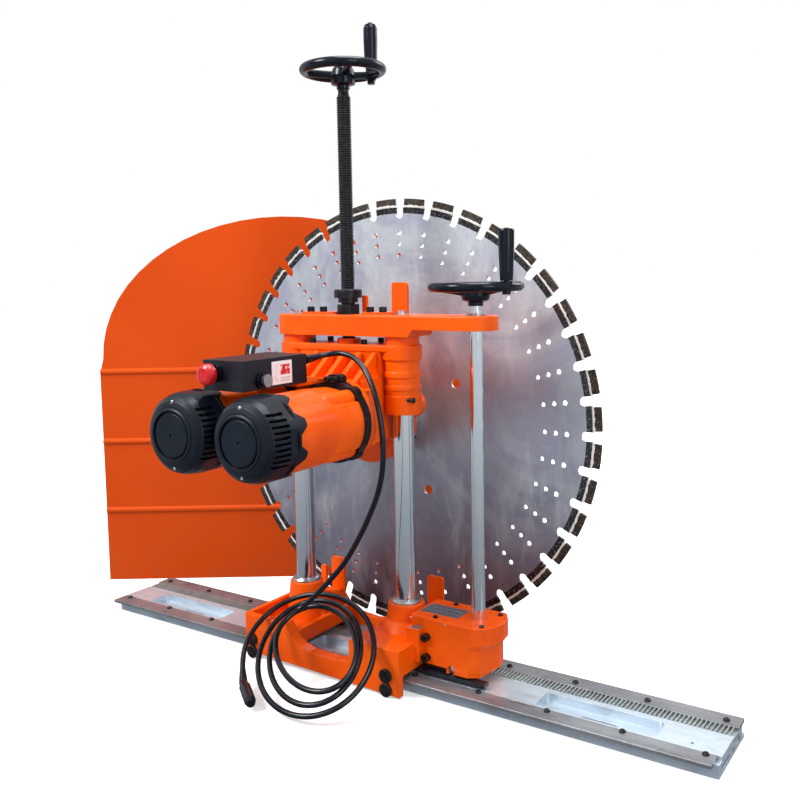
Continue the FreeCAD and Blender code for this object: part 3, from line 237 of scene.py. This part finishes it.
def sheet_paint():
    """Painted sheet steel: smoother than the castings, a little oil-canned, with faint scuffs."""
    m = Material("paint_sheet", (0.61, 0.064, 0.003), rough=0.32, coat=0.03, coat_rough=0.2, shine=0.14)
    z = m.axes()[2]
    clouds = m.noise(m.mapped(scale=(1, 1, 0.6)), 4.0, 4.0, 0.5)
    colour = m.mix(m.span(clouds, 0.3, 0.75), (0.56, 0.056, 0.002), (0.65, 0.071, 0.004))
    scuffs = m.noise(m.mapped(scale=(14, 14, 2.2)), 9.0, 7.0, 0.7, 0.6)
    colour = m.mix(m.span(scuffs, 0.66, 0.80, 0.0, 0.22), colour, (0.50, 0.07, 0.012))
    # Painted shade: darker patches over the bottom 10 cm, near the floor.
    low = m.times(m.span(z, 0.10, 0.0), m.span(m.noise(m.mapped(), 28.0, 6.0, 0.7), 0.45, 0.7))
    colour = m.mix(m.times(low, 0.30), colour, (0.30, 0.09, 0.03))
    soft, edges = m.rounded(0.0016)
    # Painted highlight: the edges are lightened to the orange of lit paint.
    colour = m.mix(m.times(edges, 0.6), colour, (0.90, 0.20, 0.03))
    normal = m.bump(m.noise(m.mapped(), 3.5, 2.0, 0.4), 0.16, 0.02, soft)
    normal = m.bump(m.noise(m.mapped(), 700.0, 2.0), 0.10, 0.0004, normal)
    return m.use(base=colour, rough=m.span(scuffs, 0.35, 0.7, 0.28, 0.42), normal=normal)


def milled_metal(name, light, dark, rough, dirt, spread, stretch=(0.03, 1, 1)):
    """Milled or drawn metal: hair lines along the bar, broad clouds and oily or rusty blots."""
    m = Material(name, light, rough=rough, metal=0.6)
    hair = m.noise(m.mapped(scale=stretch), 700.0, 3.0, 0.6)
    broad = m.noise(m.mapped(scale=stretch), 46.0, 5.0, 0.65)
    clouds = m.noise(m.mapped(), 6.5, 5.0, 0.6)
    colour = m.mix(m.span(clouds, 0.35, 0.68), dark, light)
    colour = m.mix(m.span(broad, 0.40, 0.75, 0.0, 0.45), colour, scaled(dark, 0.7))
    blots = m.noise(m.mapped(scale=(0.5, 1, 1)), 40.0, 8.0, 0.75, 0.4)
    regions = m.span(m.noise(m.mapped(), 5.0, 3.0), 0.42, 0.60, 0.25, 1.0)
    patch = m.times(m.span(blots, 0.52, 0.70), regions)
    colour = m.mix(m.times(patch, spread), colour, dirt)
    soft, edges = m.rounded(0.0007)
    # Painted highlight: the edges are lightened to near white.
    colour = m.mix(m.times(edges, 0.45), colour, (0.88, 0.90, 0.92))
    lines = m.span(hair, 0.3, 0.7, rough * 0.85, rough * 1.2)
    rough_map = m.math("ADD", lines, m.times(patch, 0.22))
    return m.use(base=colour, rough=rough_map, normal=m.bump(hair, 0.05, 0.0001, soft))


def chrome(name, tint):
    """Hard chrome with faint grinding rings and finger smears."""
    m = Material(name, (0.70, 0.75, 0.80), rough=0.12, metal=1.0)
    clouds = m.noise(m.mapped(scale=(6, 6, 1)), 5.0, 4.0, 0.6)
    colour = m.mix(m.span(clouds, 0.35, 0.7), (0.68, 0.74, 0.80), tint)
    rings = m.noise(m.mapped(scale=(0.4, 0.4, 60)), 30.0, 2.0)
    smears = m.noise(m.mapped(scale=(5, 5, 1.2)), 22.0, 5.0, 0.6)
    return m.use(base=colour, rough=m.span(smears, 0.4, 0.7, 0.10, 0.20), normal=m.bump(rings, 0.03, 0.0002))


def turned_steel(name, base=(0.50, 0.51, 0.53), rough=0.30):
    """Turned or ground part with mild tarnish."""
    m = Material(name, base, rough=rough, metal=1.0)
    clouds = m.noise(m.mapped(), 60.0, 5.0, 0.6)
    colour = m.mix(m.span(clouds, 0.35, 0.72), scaled(base, 0.72), scaled(base, 1.2))
    soft = m.rounded(0.0005)[0]
    normal = m.bump(m.noise(m.mapped(scale=(1, 1, 8)), 320.0, 2.0), 0.08, 0.0002, soft)
    return m.use(base=colour, rough=m.span(clouds, 0.3, 0.7, rough * 0.8, rough * 1.4), normal=normal)


def black_oxide():
    """Blackened steel: oily, with bare metal just showing on the edges."""
    m = Material("black_oxide", (0.012, 0.013, 0.016), rough=0.34, metal=0.5, shine=0.4)
    clouds = m.noise(m.mapped(), 90.0, 5.0, 0.6)
    colour = m.mix(m.span(clouds, 0.45, 0.75), (0.007, 0.008, 0.011), (0.030, 0.030, 0.032))
    soft, edges = m.rounded(0.0006)
    colour = m.mix(m.times(edges, 0.45), colour, (0.16, 0.16, 0.17))
    normal = m.bump(m.noise(m.mapped(), 500.0, 3.0), 0.1, 0.0002, soft)
    return m.use(base=colour, rough=m.span(clouds, 0.3, 0.7, 0.26, 0.46), normal=normal)


def moulded(name, base, rough, grain, coat=0.0, edge=0.0012, dust=0.08, shine=0.4):
    """Moulded plastic or rubber: fine spark-eroded grain, soft edges and a breath of dust."""
    m = Material(name, base, rough=rough, coat=coat, coat_rough=0.08, shine=shine)
    clouds = m.noise(m.mapped(), 24.0, 5.0, 0.6)
    lighter = tuple(min(1.0, c * 1.5 + 0.001) for c in base)
    colour = m.mix(m.span(clouds, 0.4, 0.75), base, lighter)
    specks = m.noise(m.mapped(), 140.0, 6.0, 0.75)
    colour = m.mix(m.span(specks, 0.64, 0.82, 0.0, dust), colour, (0.22, 0.22, 0.22))
    soft, edges = m.rounded(edge)
    colour = m.mix(m.times(edges, 0.12), colour, lighter)
    normal = m.bump(m.noise(m.mapped(), 1100.0, 2.0), grain, 0.0003, soft)
    return m.use(base=colour, rough=m.span(clouds, 0.3, 0.75, rough * 0.85, rough * 1.2), normal=normal)


BLADE_X, _, BLADE_Z = centre_of("spindle")
BURN_R, WELD_R, SEGMENT_R = 0.3735, 0.3845, 0.3885    # where each band at the rim begins


def blade_polar(m):
    """Distance from the blade's axis, and the X and Z parts of the direction outwards."""
    x, _, z = m.axes(m.mapped(shift=(-BLADE_X, 0, -BLADE_Z)))
    reach = m.math("SQRT", m.math("ADD", m.times(x, x), m.times(z, z)))
    return reach, m.math("DIVIDE", x, reach), m.math("DIVIDE", z, reach)


def blade_steel():
    """Ground disc: fine brushing, faint violet heat tints, a painted reflection of the dark floor low down,
    lighter streaks, a burnt dark band and a bright weld.
    """
    m = Material("blade_steel", (0.50, 0.50, 0.52), rough=0.40, metal=0.62)
    reach, ux, uz = blade_polar(m)
    hair = m.noise(m.mapped(scale=(0.35, 1, 1), turn=(0, 0.5, 0)), 520.0, 3.0, 0.6)
    cross = m.noise(m.mapped(scale=(1, 1, 0.25), turn=(0, -0.3, 0)), 430.0, 3.0, 0.6)
    clouds = m.noise(m.mapped(), 3.4, 5.0, 0.6, 0.6)
    colour = m.mix(m.span(hair, 0.32, 0.68), (0.42, 0.46, 0.50), (0.57, 0.62, 0.67))
    tints = m.ramp(clouds, [(0.32, (0.30, 0.36, 0.48)), (0.42, (0.60, 0.65, 0.70)),
                            (0.50, (0.36, 0.37, 0.50)), (0.58, (0.60, 0.62, 0.67)),
                            (0.68, (0.30, 0.34, 0.48))])
    colour = m.mix(0.62, colour, tints)
    # Painted reflection of the dark floor: the disc darkens to violet-black towards the bottom, with a
    # cloudy border.
    height = m.math("ADD", m.axes()[2], m.span(clouds, 0.3, 0.7, -0.06, 0.06))
    colour = m.mix(m.span(height, 0.52, 0.0), colour, (0.10, 0.085, 0.13))
    spots = m.noise(m.mapped(), 30.0, 8.0, 0.76, 0.3)
    colour = m.mix(m.span(spots, 0.60, 0.82, 0.0, 0.45), colour, (0.16, 0.15, 0.17))
    # Lighter streaks, stretched nearly upright across the disc.
    light_streaks = m.noise(m.mapped(scale=(1, 1, 0.22), turn=(0, 0.35, 0)), 16.0, 6.0, 0.7, 0.5)
    colour = m.mix(m.span(light_streaks, 0.50, 0.72, 0.0, 0.40), colour, (0.78, 0.82, 0.86))
    outwards = m.join(m.times(ux, 46.0), m.times(uz, 46.0), m.times(reach, 190.0))
    streaks = m.noise(outwards, 2.2, 4.0, 0.65)
    band = m.inside(reach, BURN_R, WELD_R)
    ragged = m.math("ADD", reach, m.span(streaks, 0.3, 0.7, -0.0010, 0.0010))
    weld = m.math("GREATER_THAN", ragged, WELD_R)
    burnt = m.ramp(streaks, [(0.40, (0.006, 0.006, 0.008)), (0.58, (0.030, 0.028, 0.030)),
                             (0.66, (0.42, 0.41, 0.38))])
    colour = m.mix(m.times(band, 0.96), colour, burnt)
    colour = m.mix(weld, colour, (0.86, 0.84, 0.80))
    rough = m.math("ADD", m.span(cross, 0.3, 0.7, 0.32, 0.44), m.span(spots, 0.55, 0.8, 0.0, 0.12))
    rough = m.math("SUBTRACT", rough, m.times(band, 0.14))
    fine = m.math("ADD", m.times(hair, 0.5), m.times(cross, 0.5))
    return m.use(base=colour, rough=rough, normal=m.bump(fine, 0.04, 0.0001))


def segment_matrix():
    """Diamond matrix: tan-brown grit between dark edges, with a bright ragged seam at its foot."""
    m = Material("segment_matrix", (0.12, 0.09, 0.06), rough=0.5, metal=0.5)
    reach = blade_polar(m)[0]
    grit = m.noise(m.mapped(), 420.0, 5.0, 0.75)
    blot = m.noise(m.mapped(), 95.0, 4.0, 0.6)
    colour = m.ramp(grit, [(0.40, (0.008, 0.007, 0.007)), (0.53, (0.045, 0.034, 0.024)),
                           (0.62, (0.22, 0.17, 0.12)), (0.71, (0.66, 0.60, 0.48))])
    colour = m.mix(m.span(blot, 0.42, 0.62, 0.0, 0.75), colour, (0.016, 0.014, 0.014))
    edges = m.rounded(0.0016)[1]
    colour = m.mix(m.times(edges, 0.85), colour, (0.008, 0.008, 0.009))
    seam = m.math("LESS_THAN", m.math("ADD", reach, m.span(blot, 0.3, 0.7, -0.0014, 0.0014)), SEGMENT_R)
    colour = m.mix(seam, colour, (0.84, 0.83, 0.80))
    return m.use(base=colour, rough=m.span(grit, 0.3, 0.7, 0.34, 0.62), normal=m.bump(grit, 0.5, 0.0005))


def label_material():
    """White label with a pale column, a red block and grey bars, and no lettering."""
    m = Material("label_print", (0.82, 0.82, 0.83), rough=0.4)
    low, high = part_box("box_label")
    long, tall = high[1] - low[1], high[2] - low[2]
    y, z = m.axes()[1:]
    y = m.math("DIVIDE", m.math("SUBTRACT", y, low[1]), long)
    z = m.math("DIVIDE", m.math("SUBTRACT", z, low[2]), tall)
    blots = m.noise(m.mapped(), 170.0, 3.0)
    column = m.times(m.inside(y, 0.14, 0.30), m.inside(z, 0.12, 0.86))
    column = m.times(column, m.span(blots, 0.40, 0.60, 0.05, 0.45))
    colour = m.mix(column, (0.82, 0.82, 0.83), (0.72, 0.30, 0.34))
    block = m.times(m.inside(y, 0.42, 0.90), m.inside(z, 0.40, 0.84))
    colour = m.mix(m.times(block, m.span(blots, 0.36, 0.44)), colour, (0.62, 0.012, 0.022))
    bars = m.inside(m.math("FRACT", m.times(z, 9.0)), 0.2, 0.55)
    bars = m.times(bars, m.inside(y, 0.42, 0.90))
    bars = m.times(bars, m.inside(z, 0.10, 0.33))
    colour = m.mix(m.times(bars, 0.7), colour, (0.20, 0.20, 0.23))
    return m.use(base=colour, rough=m.span(m.noise(m.mapped(), 300.0), 0.3, 0.7, 0.34, 0.46))


def plate_material():
    """Etched rating plate: grey-blue metal with rows of darker dashes that spell nothing."""
    m = Material("etched_plate", (0.30, 0.34, 0.40), rough=0.36, metal=0.8)
    low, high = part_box("gearbox_plate")
    x, y = m.axes()[:2]
    across = m.math("DIVIDE", m.math("SUBTRACT", x, low[0]), high[0] - low[0])
    down = m.math("DIVIDE", m.math("SUBTRACT", y, low[1]), high[1] - low[1])
    line = m.times(down, 6.0)
    rows = m.inside(m.math("FRACT", line), 0.25, 0.6)
    places = m.join(m.times(across, 24.0), m.math("FLOOR", line), 0.0)
    dashes = m.math("GREATER_THAN", m.noise(places, 1.0, 1.0), 0.46)
    field = m.times(m.inside(across, 0.08, 0.92), m.inside(down, 0.14, 0.86))
    marks = m.times(field, m.times(rows, dashes))
    colour = m.mix(m.times(marks, 0.8), (0.32, 0.36, 0.42), (0.05, 0.055, 0.07))
    outer = m.times(m.inside(across, 0.03, 0.97), m.inside(down, 0.06, 0.94))
    inner = m.times(m.inside(across, 0.05, 0.95), m.inside(down, 0.10, 0.90))
    border = m.math("SUBTRACT", outer, inner)
    colour = m.mix(m.times(border, 0.7), colour, (0.07, 0.08, 0.10))
    clouds = m.noise(m.mapped(), 60.0, 5.0)
    return m.use(base=colour, rough=m.span(clouds, 0.3, 0.7, 0.28, 0.46))


MATERIALS = {
    "track_metal": milled_metal("rail_extrusion", (0.66, 0.76, 0.84), (0.50, 0.58, 0.66), 0.34,
                                (0.20, 0.21, 0.23), 0.62),
    "strip_steel": milled_metal("strip_ground", (0.34, 0.36, 0.38), (0.17, 0.17, 0.19), 0.34,
                                (0.085, 0.055, 0.050), 0.95),
    "rack_steel": milled_metal("rack_milled", (0.46, 0.51, 0.51), (0.27, 0.31, 0.31), 0.30,
                               (0.05, 0.07, 0.06), 0.7, (1, 0.05, 1)),
    "orange_casting": casting_paint(),
    "orange_sheet": sheet_paint(),
    "polished_steel": chrome("hard_chrome", (0.74, 0.75, 0.74)),
    "plain_steel": turned_steel("turned_steel"),
    "black_steel": black_oxide(),
    "black_box": moulded("box_paint", (0.007, 0.009, 0.014), 0.40, 0.22, shine=0.3),
    "black_plastic": moulded("bakelite", (0.002, 0.004, 0.009), 0.20, 0.03, coat=0.05, dust=0.02, shine=0.2),
    "motor_plastic": moulded("motor_nylon", (0.002, 0.005, 0.011), 0.36, 0.20, dust=0.03, shine=0.22),
    "bearing_bronze": turned_steel("bronze", (0.60, 0.40, 0.18), 0.3),
    "winding_iron": moulded("lamination", (0.10, 0.07, 0.05), 0.5, 0.3),
    "cable_rubber": moulded("cable_sheath", (0.002, 0.004, 0.008), 0.22, 0.03, dust=0.02, shine=0.35),
    "red_plastic": moulded("red_button", (0.44, 0.006, 0.008), 0.30, 0.02, coat=0.08, dust=0.02),
    "segment": segment_matrix(),
    "blade_steel": blade_steel(),
    "white_label": label_material(),
}
OWN_MATERIALS = {"gearbox_plate": plate_material()}


def dress_nodes():
    """Every CAD node takes the material of its slot in the record, or its own."""
    slots = {part["node"]: part["material_slot"] for part in frame["record"]["subparts"]}
    for name, obj in NODES.items():
        obj.data.materials.clear()
        obj.data.materials.append(OWN_MATERIALS.get(name, MATERIALS[slots[name]]))


dress_nodes()


# ------------------------------------------------------------------ shapes
def ring(bm, centre, side, other, radius, sides):
    """Vertices of one circle in the plane of two unit vectors."""
    turns = [2 * math.pi * k / sides for k in range(sides)]
    return [bm.verts.new(centre + (side * math.cos(a) + other * math.sin(a)) * radius) for a in turns]


def join_rings(bm, rings):
    """Side faces between each ring of vertices and the next, and a face on either end."""
    sides = len(rings[0])
    for first, second in zip(rings, rings[1:]):
        for k in range(sides):
            bm.faces.new((first[k], first[(k + 1) % sides], second[(k + 1) % sides], second[k]))
    bm.faces.new(list(reversed(rings[0])))
    return bm.faces.new(rings[-1])


def tube_mesh(name, path, radii, sides=20):
    """A round tube along a path, with one radius for each point and no twist along it."""
    bm = bmesh.new()
    tangent = (path[1] - path[0]).normalized()
    side = tangent.orthogonal().normalized()
    rings = []
    for i, point in enumerate(path):
        ahead = path[min(i + 1, len(path) - 1)] - path[max(i - 1, 0)]
        new_tangent = ahead.normalized()
        side = (tangent.rotation_difference(new_tangent) @ side).normalized()
        tangent = new_tangent
        rings.append(ring(bm, point, side, tangent.cross(side), radii[i], sides))
    join_rings(bm, rings)
    for face in bm.faces:
        face.smooth = len(face.verts) == 4
    return finished(name, bm)


def finished(name, bm):
    """Object made from a bmesh, linked into the scene."""
    mesh = bpy.data.meshes.new(name)
    bm.to_mesh(mesh)
    bm.free()
    obj = bpy.data.objects.new(name, mesh)
    scene.collection.objects.link(obj)
    return obj


def dress(obj, slot, body=None):
    """Give a piece its material and, if a body is named, attach it to that body."""
    obj.data.materials.append(MATERIALS[slot])
    if body:
        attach(obj, body)
    return obj


# ------------------------------------------------------------------ cable
CABLE_R = 0.0045
RELIEF_L, BOOT_L = 0.034, 0.030    # sleeves at the gland and at the plug


def coil_point(f):
    """Middle of the cable at the fraction f of the loose coil, in millimetres.

    The coil leans on the carriage in a tilted plane; its turns widen as they sink through the pile.
    """
    centre = Vector((-12, -152, 53.6))
    across, normal = Vector((0, 0.867, 0.4985)), Vector((0, -0.4985, 0.867))
    turn = 0.39 + 3.23 * f
    k, t = turn - 2, 2 * math.pi * turn
    x = -4 - 9 * k + (93 + 18 * k + 8 * k * k) * math.cos(t) - 31 * math.sin(t)
    w = 1 + 2 * k + 2 * k * k + (98 + 18 * k - k * k) * math.sin(t)
    return centre + Vector((x, 0, 0)) + across * w + normal * (5 + 34 * (1 - f))


def cable_route():
    """Free run from the gland to the top of the coil, then the turns of the coil, in metres."""
    start = coil_point(0.0)
    lead = (coil_point(0.002) - start).normalized()
    fall = Vector((-0.75, -0.13, -0.63)).normalized()
    run = [(-30, -144, 543), (-30, -120, 545), (-18, -99, 549), (5, -89, 551),
           (37, -93, 542), (70, -107, 515), (98, -121, 466), (107, -125, 405),
           (97, -122, 348), (68, -116, 292), (33, -106, 241), (-3, -96, 196)]
    last = start - lead * 24
    points = [Vector(p) for p in run] + [last - fall * 26, last]
    points += [coil_point(i / 56) for i in range(57)]
    return [p / 1000.0 for p in points]


def spline_points(name, points, per_point=10):
    """Points of one smooth NURBS curve that has the given control points."""
    curve = bpy.data.curves.new(name, "CURVE")
    curve.dimensions = "3D"
    spline = curve.splines.new("NURBS")
    spline.points.add(len(points) - 1)
    for control, point in zip(spline.points, points):
        control.co = (*point, 1.0)
    spline.order_u = 3
    spline.use_endpoint_u = True
    spline.resolution_u = per_point
    holder = bpy.data.objects.new(name, curve)
    scene.collection.objects.link(holder)
    bpy.context.view_layer.update()
    mesh = bpy.data.meshes.new_from_object(holder.evaluated_get(bpy.context.evaluated_depsgraph_get()))
    found = [v.co.copy() for v in mesh.vertices]
    bpy.data.objects.remove(holder)
    bpy.data.meshes.remove(mesh)
    return found


def stretch_of(path, length):
    """The first part of a path, cut at a length along it."""
    kept, run = [path[0]], 0.0
    for a, b in zip(path, path[1:]):
        run += (b - a).length
        if run > length:
            break
        kept.append(b)
    return kept


def ribbed_sleeve(name, path, thick, thin, ribs):
    """Tapered rubber sleeve along a path, with shallow grooves between its ribs."""
    radii = []
    for i in range(len(path)):
        f = i / (len(path) - 1)
        groove = 0.0007 * (0.5 - 0.5 * math.cos(2 * math.pi * ribs * f))
        radii.append(thick + (thin - thick) * f - groove)
    return tube_mesh(name, path, radii, 24)


def resampled(path, steps):
    """Evenly spaced points along a path."""
    reach = [0.0]
    for a, b in zip(path, path[1:]):
        reach.append(reach[-1] + (b - a).length)
    points, j = [], 0
    for i in range(steps + 1):
        want = reach[-1] * i / steps
        while j < len(path) - 2 and reach[j + 1] < want:
            j += 1
        part = (want - reach[j]) / max(1e-9, reach[j + 1] - reach[j])
        points.append(path[j].lerp(path[j + 1], min(1.0, part)))
    return points


def add_cable():
    """The cable in one piece, with a strain relief at the gland and a boot at the plug."""
    path = spline_points("cable_line", cable_route())
    cable = dress(tube_mesh("power_cable", path, [CABLE_R] * len(path)), "cable_rubber")
    relief = resampled(stretch_of(path, RELIEF_L), 60)
    dress(ribbed_sleeve("strain_relief", relief, 0.0076, 0.0054, 7), "black_plastic", "head")
    boot = resampled(stretch_of(path[::-1], BOOT_L), 50)
    boot = dress(ribbed_sleeve("plug_boot", boot, 0.0074, 0.0052, 6), "black_plastic", "carriage")
    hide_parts("cable_run", "cable_coil")
    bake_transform(cable)


add_cable()


# ------------------------------------------------------------------ small hardware
MOTOR_PITCH = 0.135            # between the axes of the two motors
CAP_SCREW_REACH = 0.0495       # from a motor's axis to its cap screws
CAP_SCREW_DEPTH = 0.0070       # their seat behind the front of the cap
PIN_INSET = 0.0032             # drive pins from the edges of the rating plate


def spun(name, profile, place, axis, recess=0.0, sides=28):
    """Turned part from a (radius, height) profile, standing at `place` and pointing along `axis`."""
    bm = bmesh.new()
    x_axis, y_axis = Vector((1, 0, 0)), Vector((0, 1, 0))
    rings = [ring(bm, Vector((0, 0, h)), x_axis, y_axis, r, sides) for r, h in profile]
    top = join_rings(bm, rings)
    if recess:
        bmesh.ops.inset_region(bm, faces=[top], thickness=recess)
        for vert in top.verts:
            vert.co.z -= recess * 1.4
    bmesh.ops.recalc_face_normals(bm, faces=bm.faces)
    turn = Vector(axis).to_track_quat("Z", "Y").to_matrix().to_4x4()
    bm.transform(Matrix.Translation(place) @ turn)
    return finished(name, bm)


def add_cap_screws():
    """Two recessed screws in each motor cap, above and below its middle."""
    pan = [(0.0029, 0.0), (0.0029, 0.0016), (0.0024, 0.0024), (0.0016, 0.0028)]
    seat_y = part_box("motor_caps")[0][1] + CAP_SCREW_DEPTH
    middle_z = centre_of("motor_caps")[2]
    for i, x in enumerate((BLADE_X - MOTOR_PITCH / 2, BLADE_X + MOTOR_PITCH / 2)):
        for k, dz in enumerate((-CAP_SCREW_REACH, CAP_SCREW_REACH)):
            place = (x, seat_y, middle_z + dz)
            screw = spun("cap_screw_%d_%d" % (i, k), pan, place, (0, -1, 0), recess=0.0006)
            dress(screw, "plain_steel", "head")


def add_plate_pins():
    """Four drive pins in the corners of the rating plate."""
    pin = [(0.0017, 0.0), (0.0016, 0.0004), (0.0011, 0.0008)]
    low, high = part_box("gearbox_plate")
    for i, x in enumerate((low[0] + PIN_INSET, high[0] - PIN_INSET)):
        for k, y in enumerate((low[1] + PIN_INSET, high[1] - PIN_INSET)):
            made = spun("plate_pin_%d_%d" % (i, k), pin, (x, y, high[2]), (0, 0, 1))
            dress(made, "plain_steel", "carriage")


add_cap_screws()
add_plate_pins()


# ------------------------------------------------------------------ floor and light
def add_floor():
    """White paper; what metal mirrors of it is dark near the machine and paler further out."""
    bpy.ops.mesh.primitive_plane_add(size=40.0, location=(0, 0, 0))
    floor = bpy.context.object
    floor.name = "studio_floor"
    m = Material("floor_paper", (0.93, 0.93, 0.93), rough=1.0, shine=0.0)
    x, y = m.axes()[:2]
    reach = m.math("SQRT", m.math("ADD", m.times(x, x), m.times(y, y)))
    mirrored = m.ramp(m.span(reach, 0.2, 3.4), [(0.0, (0.24, 0.25, 0.28)), (0.20, (0.34, 0.36, 0.40)),
                                                (0.50, (0.50, 0.53, 0.57)), (1.0, (0.68, 0.71, 0.75))])
    ray = m.node("ShaderNodeLightPath")
    paper = m.mix(m.noise(m.mapped(), 40.0, 3.0), (0.92, 0.92, 0.92), (0.94, 0.94, 0.94))
    paper = m.mix(ray.outputs["Is Diffuse Ray"], paper, (0.34, 0.35, 0.38))
    m.put(m.shader.inputs["Base Color"], m.mix(ray.outputs["Is Glossy Ray"], paper, (0.0, 0.0, 0.0)))
    glow = m.mix(ray.outputs["Is Glossy Ray"], (0.0, 0.0, 0.0), mirrored)
    edge = m.span(reach, 0.9, 2.2, 0.42, 1.0)
    glow = m.mix(ray.outputs["Is Camera Ray"], glow, m.join(edge, edge, edge))
    m.put(m.shader.inputs["Emission Color"], glow)
    m.shader.inputs["Emission Strength"].default_value = 1.0
    floor.data.materials.append(m.material)


def add_area(name, place, target, size, power):
    """Soft box of a size in metres and a power in watts, at `place` and facing `target`."""
    data = bpy.data.lights.new(name, "AREA")
    data.shape = "RECTANGLE"
    data.size, data.size_y = size
    data.energy = power
    lamp = bpy.data.objects.new(name, data)
    scene.collection.objects.link(lamp)
    lamp.location = place
    lamp.rotation_mode = "QUATERNION"
    lamp.rotation_quaternion = (Vector(target) - Vector(place)).to_track_quat("-Z", "Y")


def add_world():
    """White to the eye; dim even fill; soft boxes with dark gaps for what the metal mirrors."""
    world = bpy.data.worlds.new("studio")
    scene.world = world
    world.use_nodes = True
    tree = world.node_tree
    tree.nodes.clear()

    def new(kind, values=(), **settings):
        made = tree.nodes.new(kind)
        for key, value in settings.items():
            setattr(made, key, value)
        for key, value in values:
            if isinstance(value, bpy.types.NodeSocket):
                tree.links.new(value, made.inputs[key])
            else:
                made.inputs[key].default_value = value
        return made

    split = new("ShaderNodeSeparateXYZ", [(0, new("ShaderNodeTexCoord").outputs["Generated"])])
    turn = new("ShaderNodeMath", [(0, split.outputs["Y"]), (1, split.outputs["X"])], operation="ARCTAN2")
    wave = new("ShaderNodeMath", [(0, turn.outputs[0]), (1, 4.0), (2, 1.2)], operation="MULTIPLY_ADD")
    sine = new("ShaderNodeMath", [(0, wave.outputs[0])], operation="SINE")
    bands = new("ShaderNodeMapRange", [("Value", sine.outputs[0]), ("From Min", -0.7), ("From Max", 0.5),
                                       ("To Min", 0.16), ("To Max", 0.92)])
    high = new("ShaderNodeMapRange", [("Value", split.outputs["Z"]), ("From Min", 0.25), ("From Max", 0.8),
                                      ("To Min", 0.0), ("To Max", 0.9)])
    blend = new("ShaderNodeMix", [(0, high.outputs["Result"]), (2, bands.outputs["Result"]), (3, 0.85)])
    mirrored = new("ShaderNodeBackground", [("Color", blend.outputs[0])])
    fill = new("ShaderNodeBackground", [("Color", (0.98, 0.99, 1.0, 1.0)), ("Strength", 0.55)])
    plain = new("ShaderNodeBackground", [("Color", (1, 1, 1, 1))])
    ray = new("ShaderNodeLightPath")
    unseen = new("ShaderNodeMixShader", [(0, ray.outputs["Is Glossy Ray"]), (1, fill.outputs[0]),
                                         (2, mirrored.outputs[0])])
    choose = new("ShaderNodeMixShader", [(0, ray.outputs["Is Camera Ray"]), (1, unseen.outputs[0]),
                                         (2, plain.outputs[0])])
    new("ShaderNodeOutputWorld", [(0, choose.outputs[0])])


add_floor()
add_world()
add_area("key", (-1.5, -2.4, 2.8), (0, 0, 0.35), (1.1, 1.1), 121.0)
add_area("fill", (2.6, -1.4, 1.4), (0, 0, 0.4), (1.2, 1.8), 28.0)
add_area("top", (0.2, 0.2, 3.0), (0, 0, 0.3), (1.8, 1.2), 67.0)
add_area("back", (1.4, 2.6, 2.2), (0, 0, 0.4), (1.6, 1.6), 43.0)
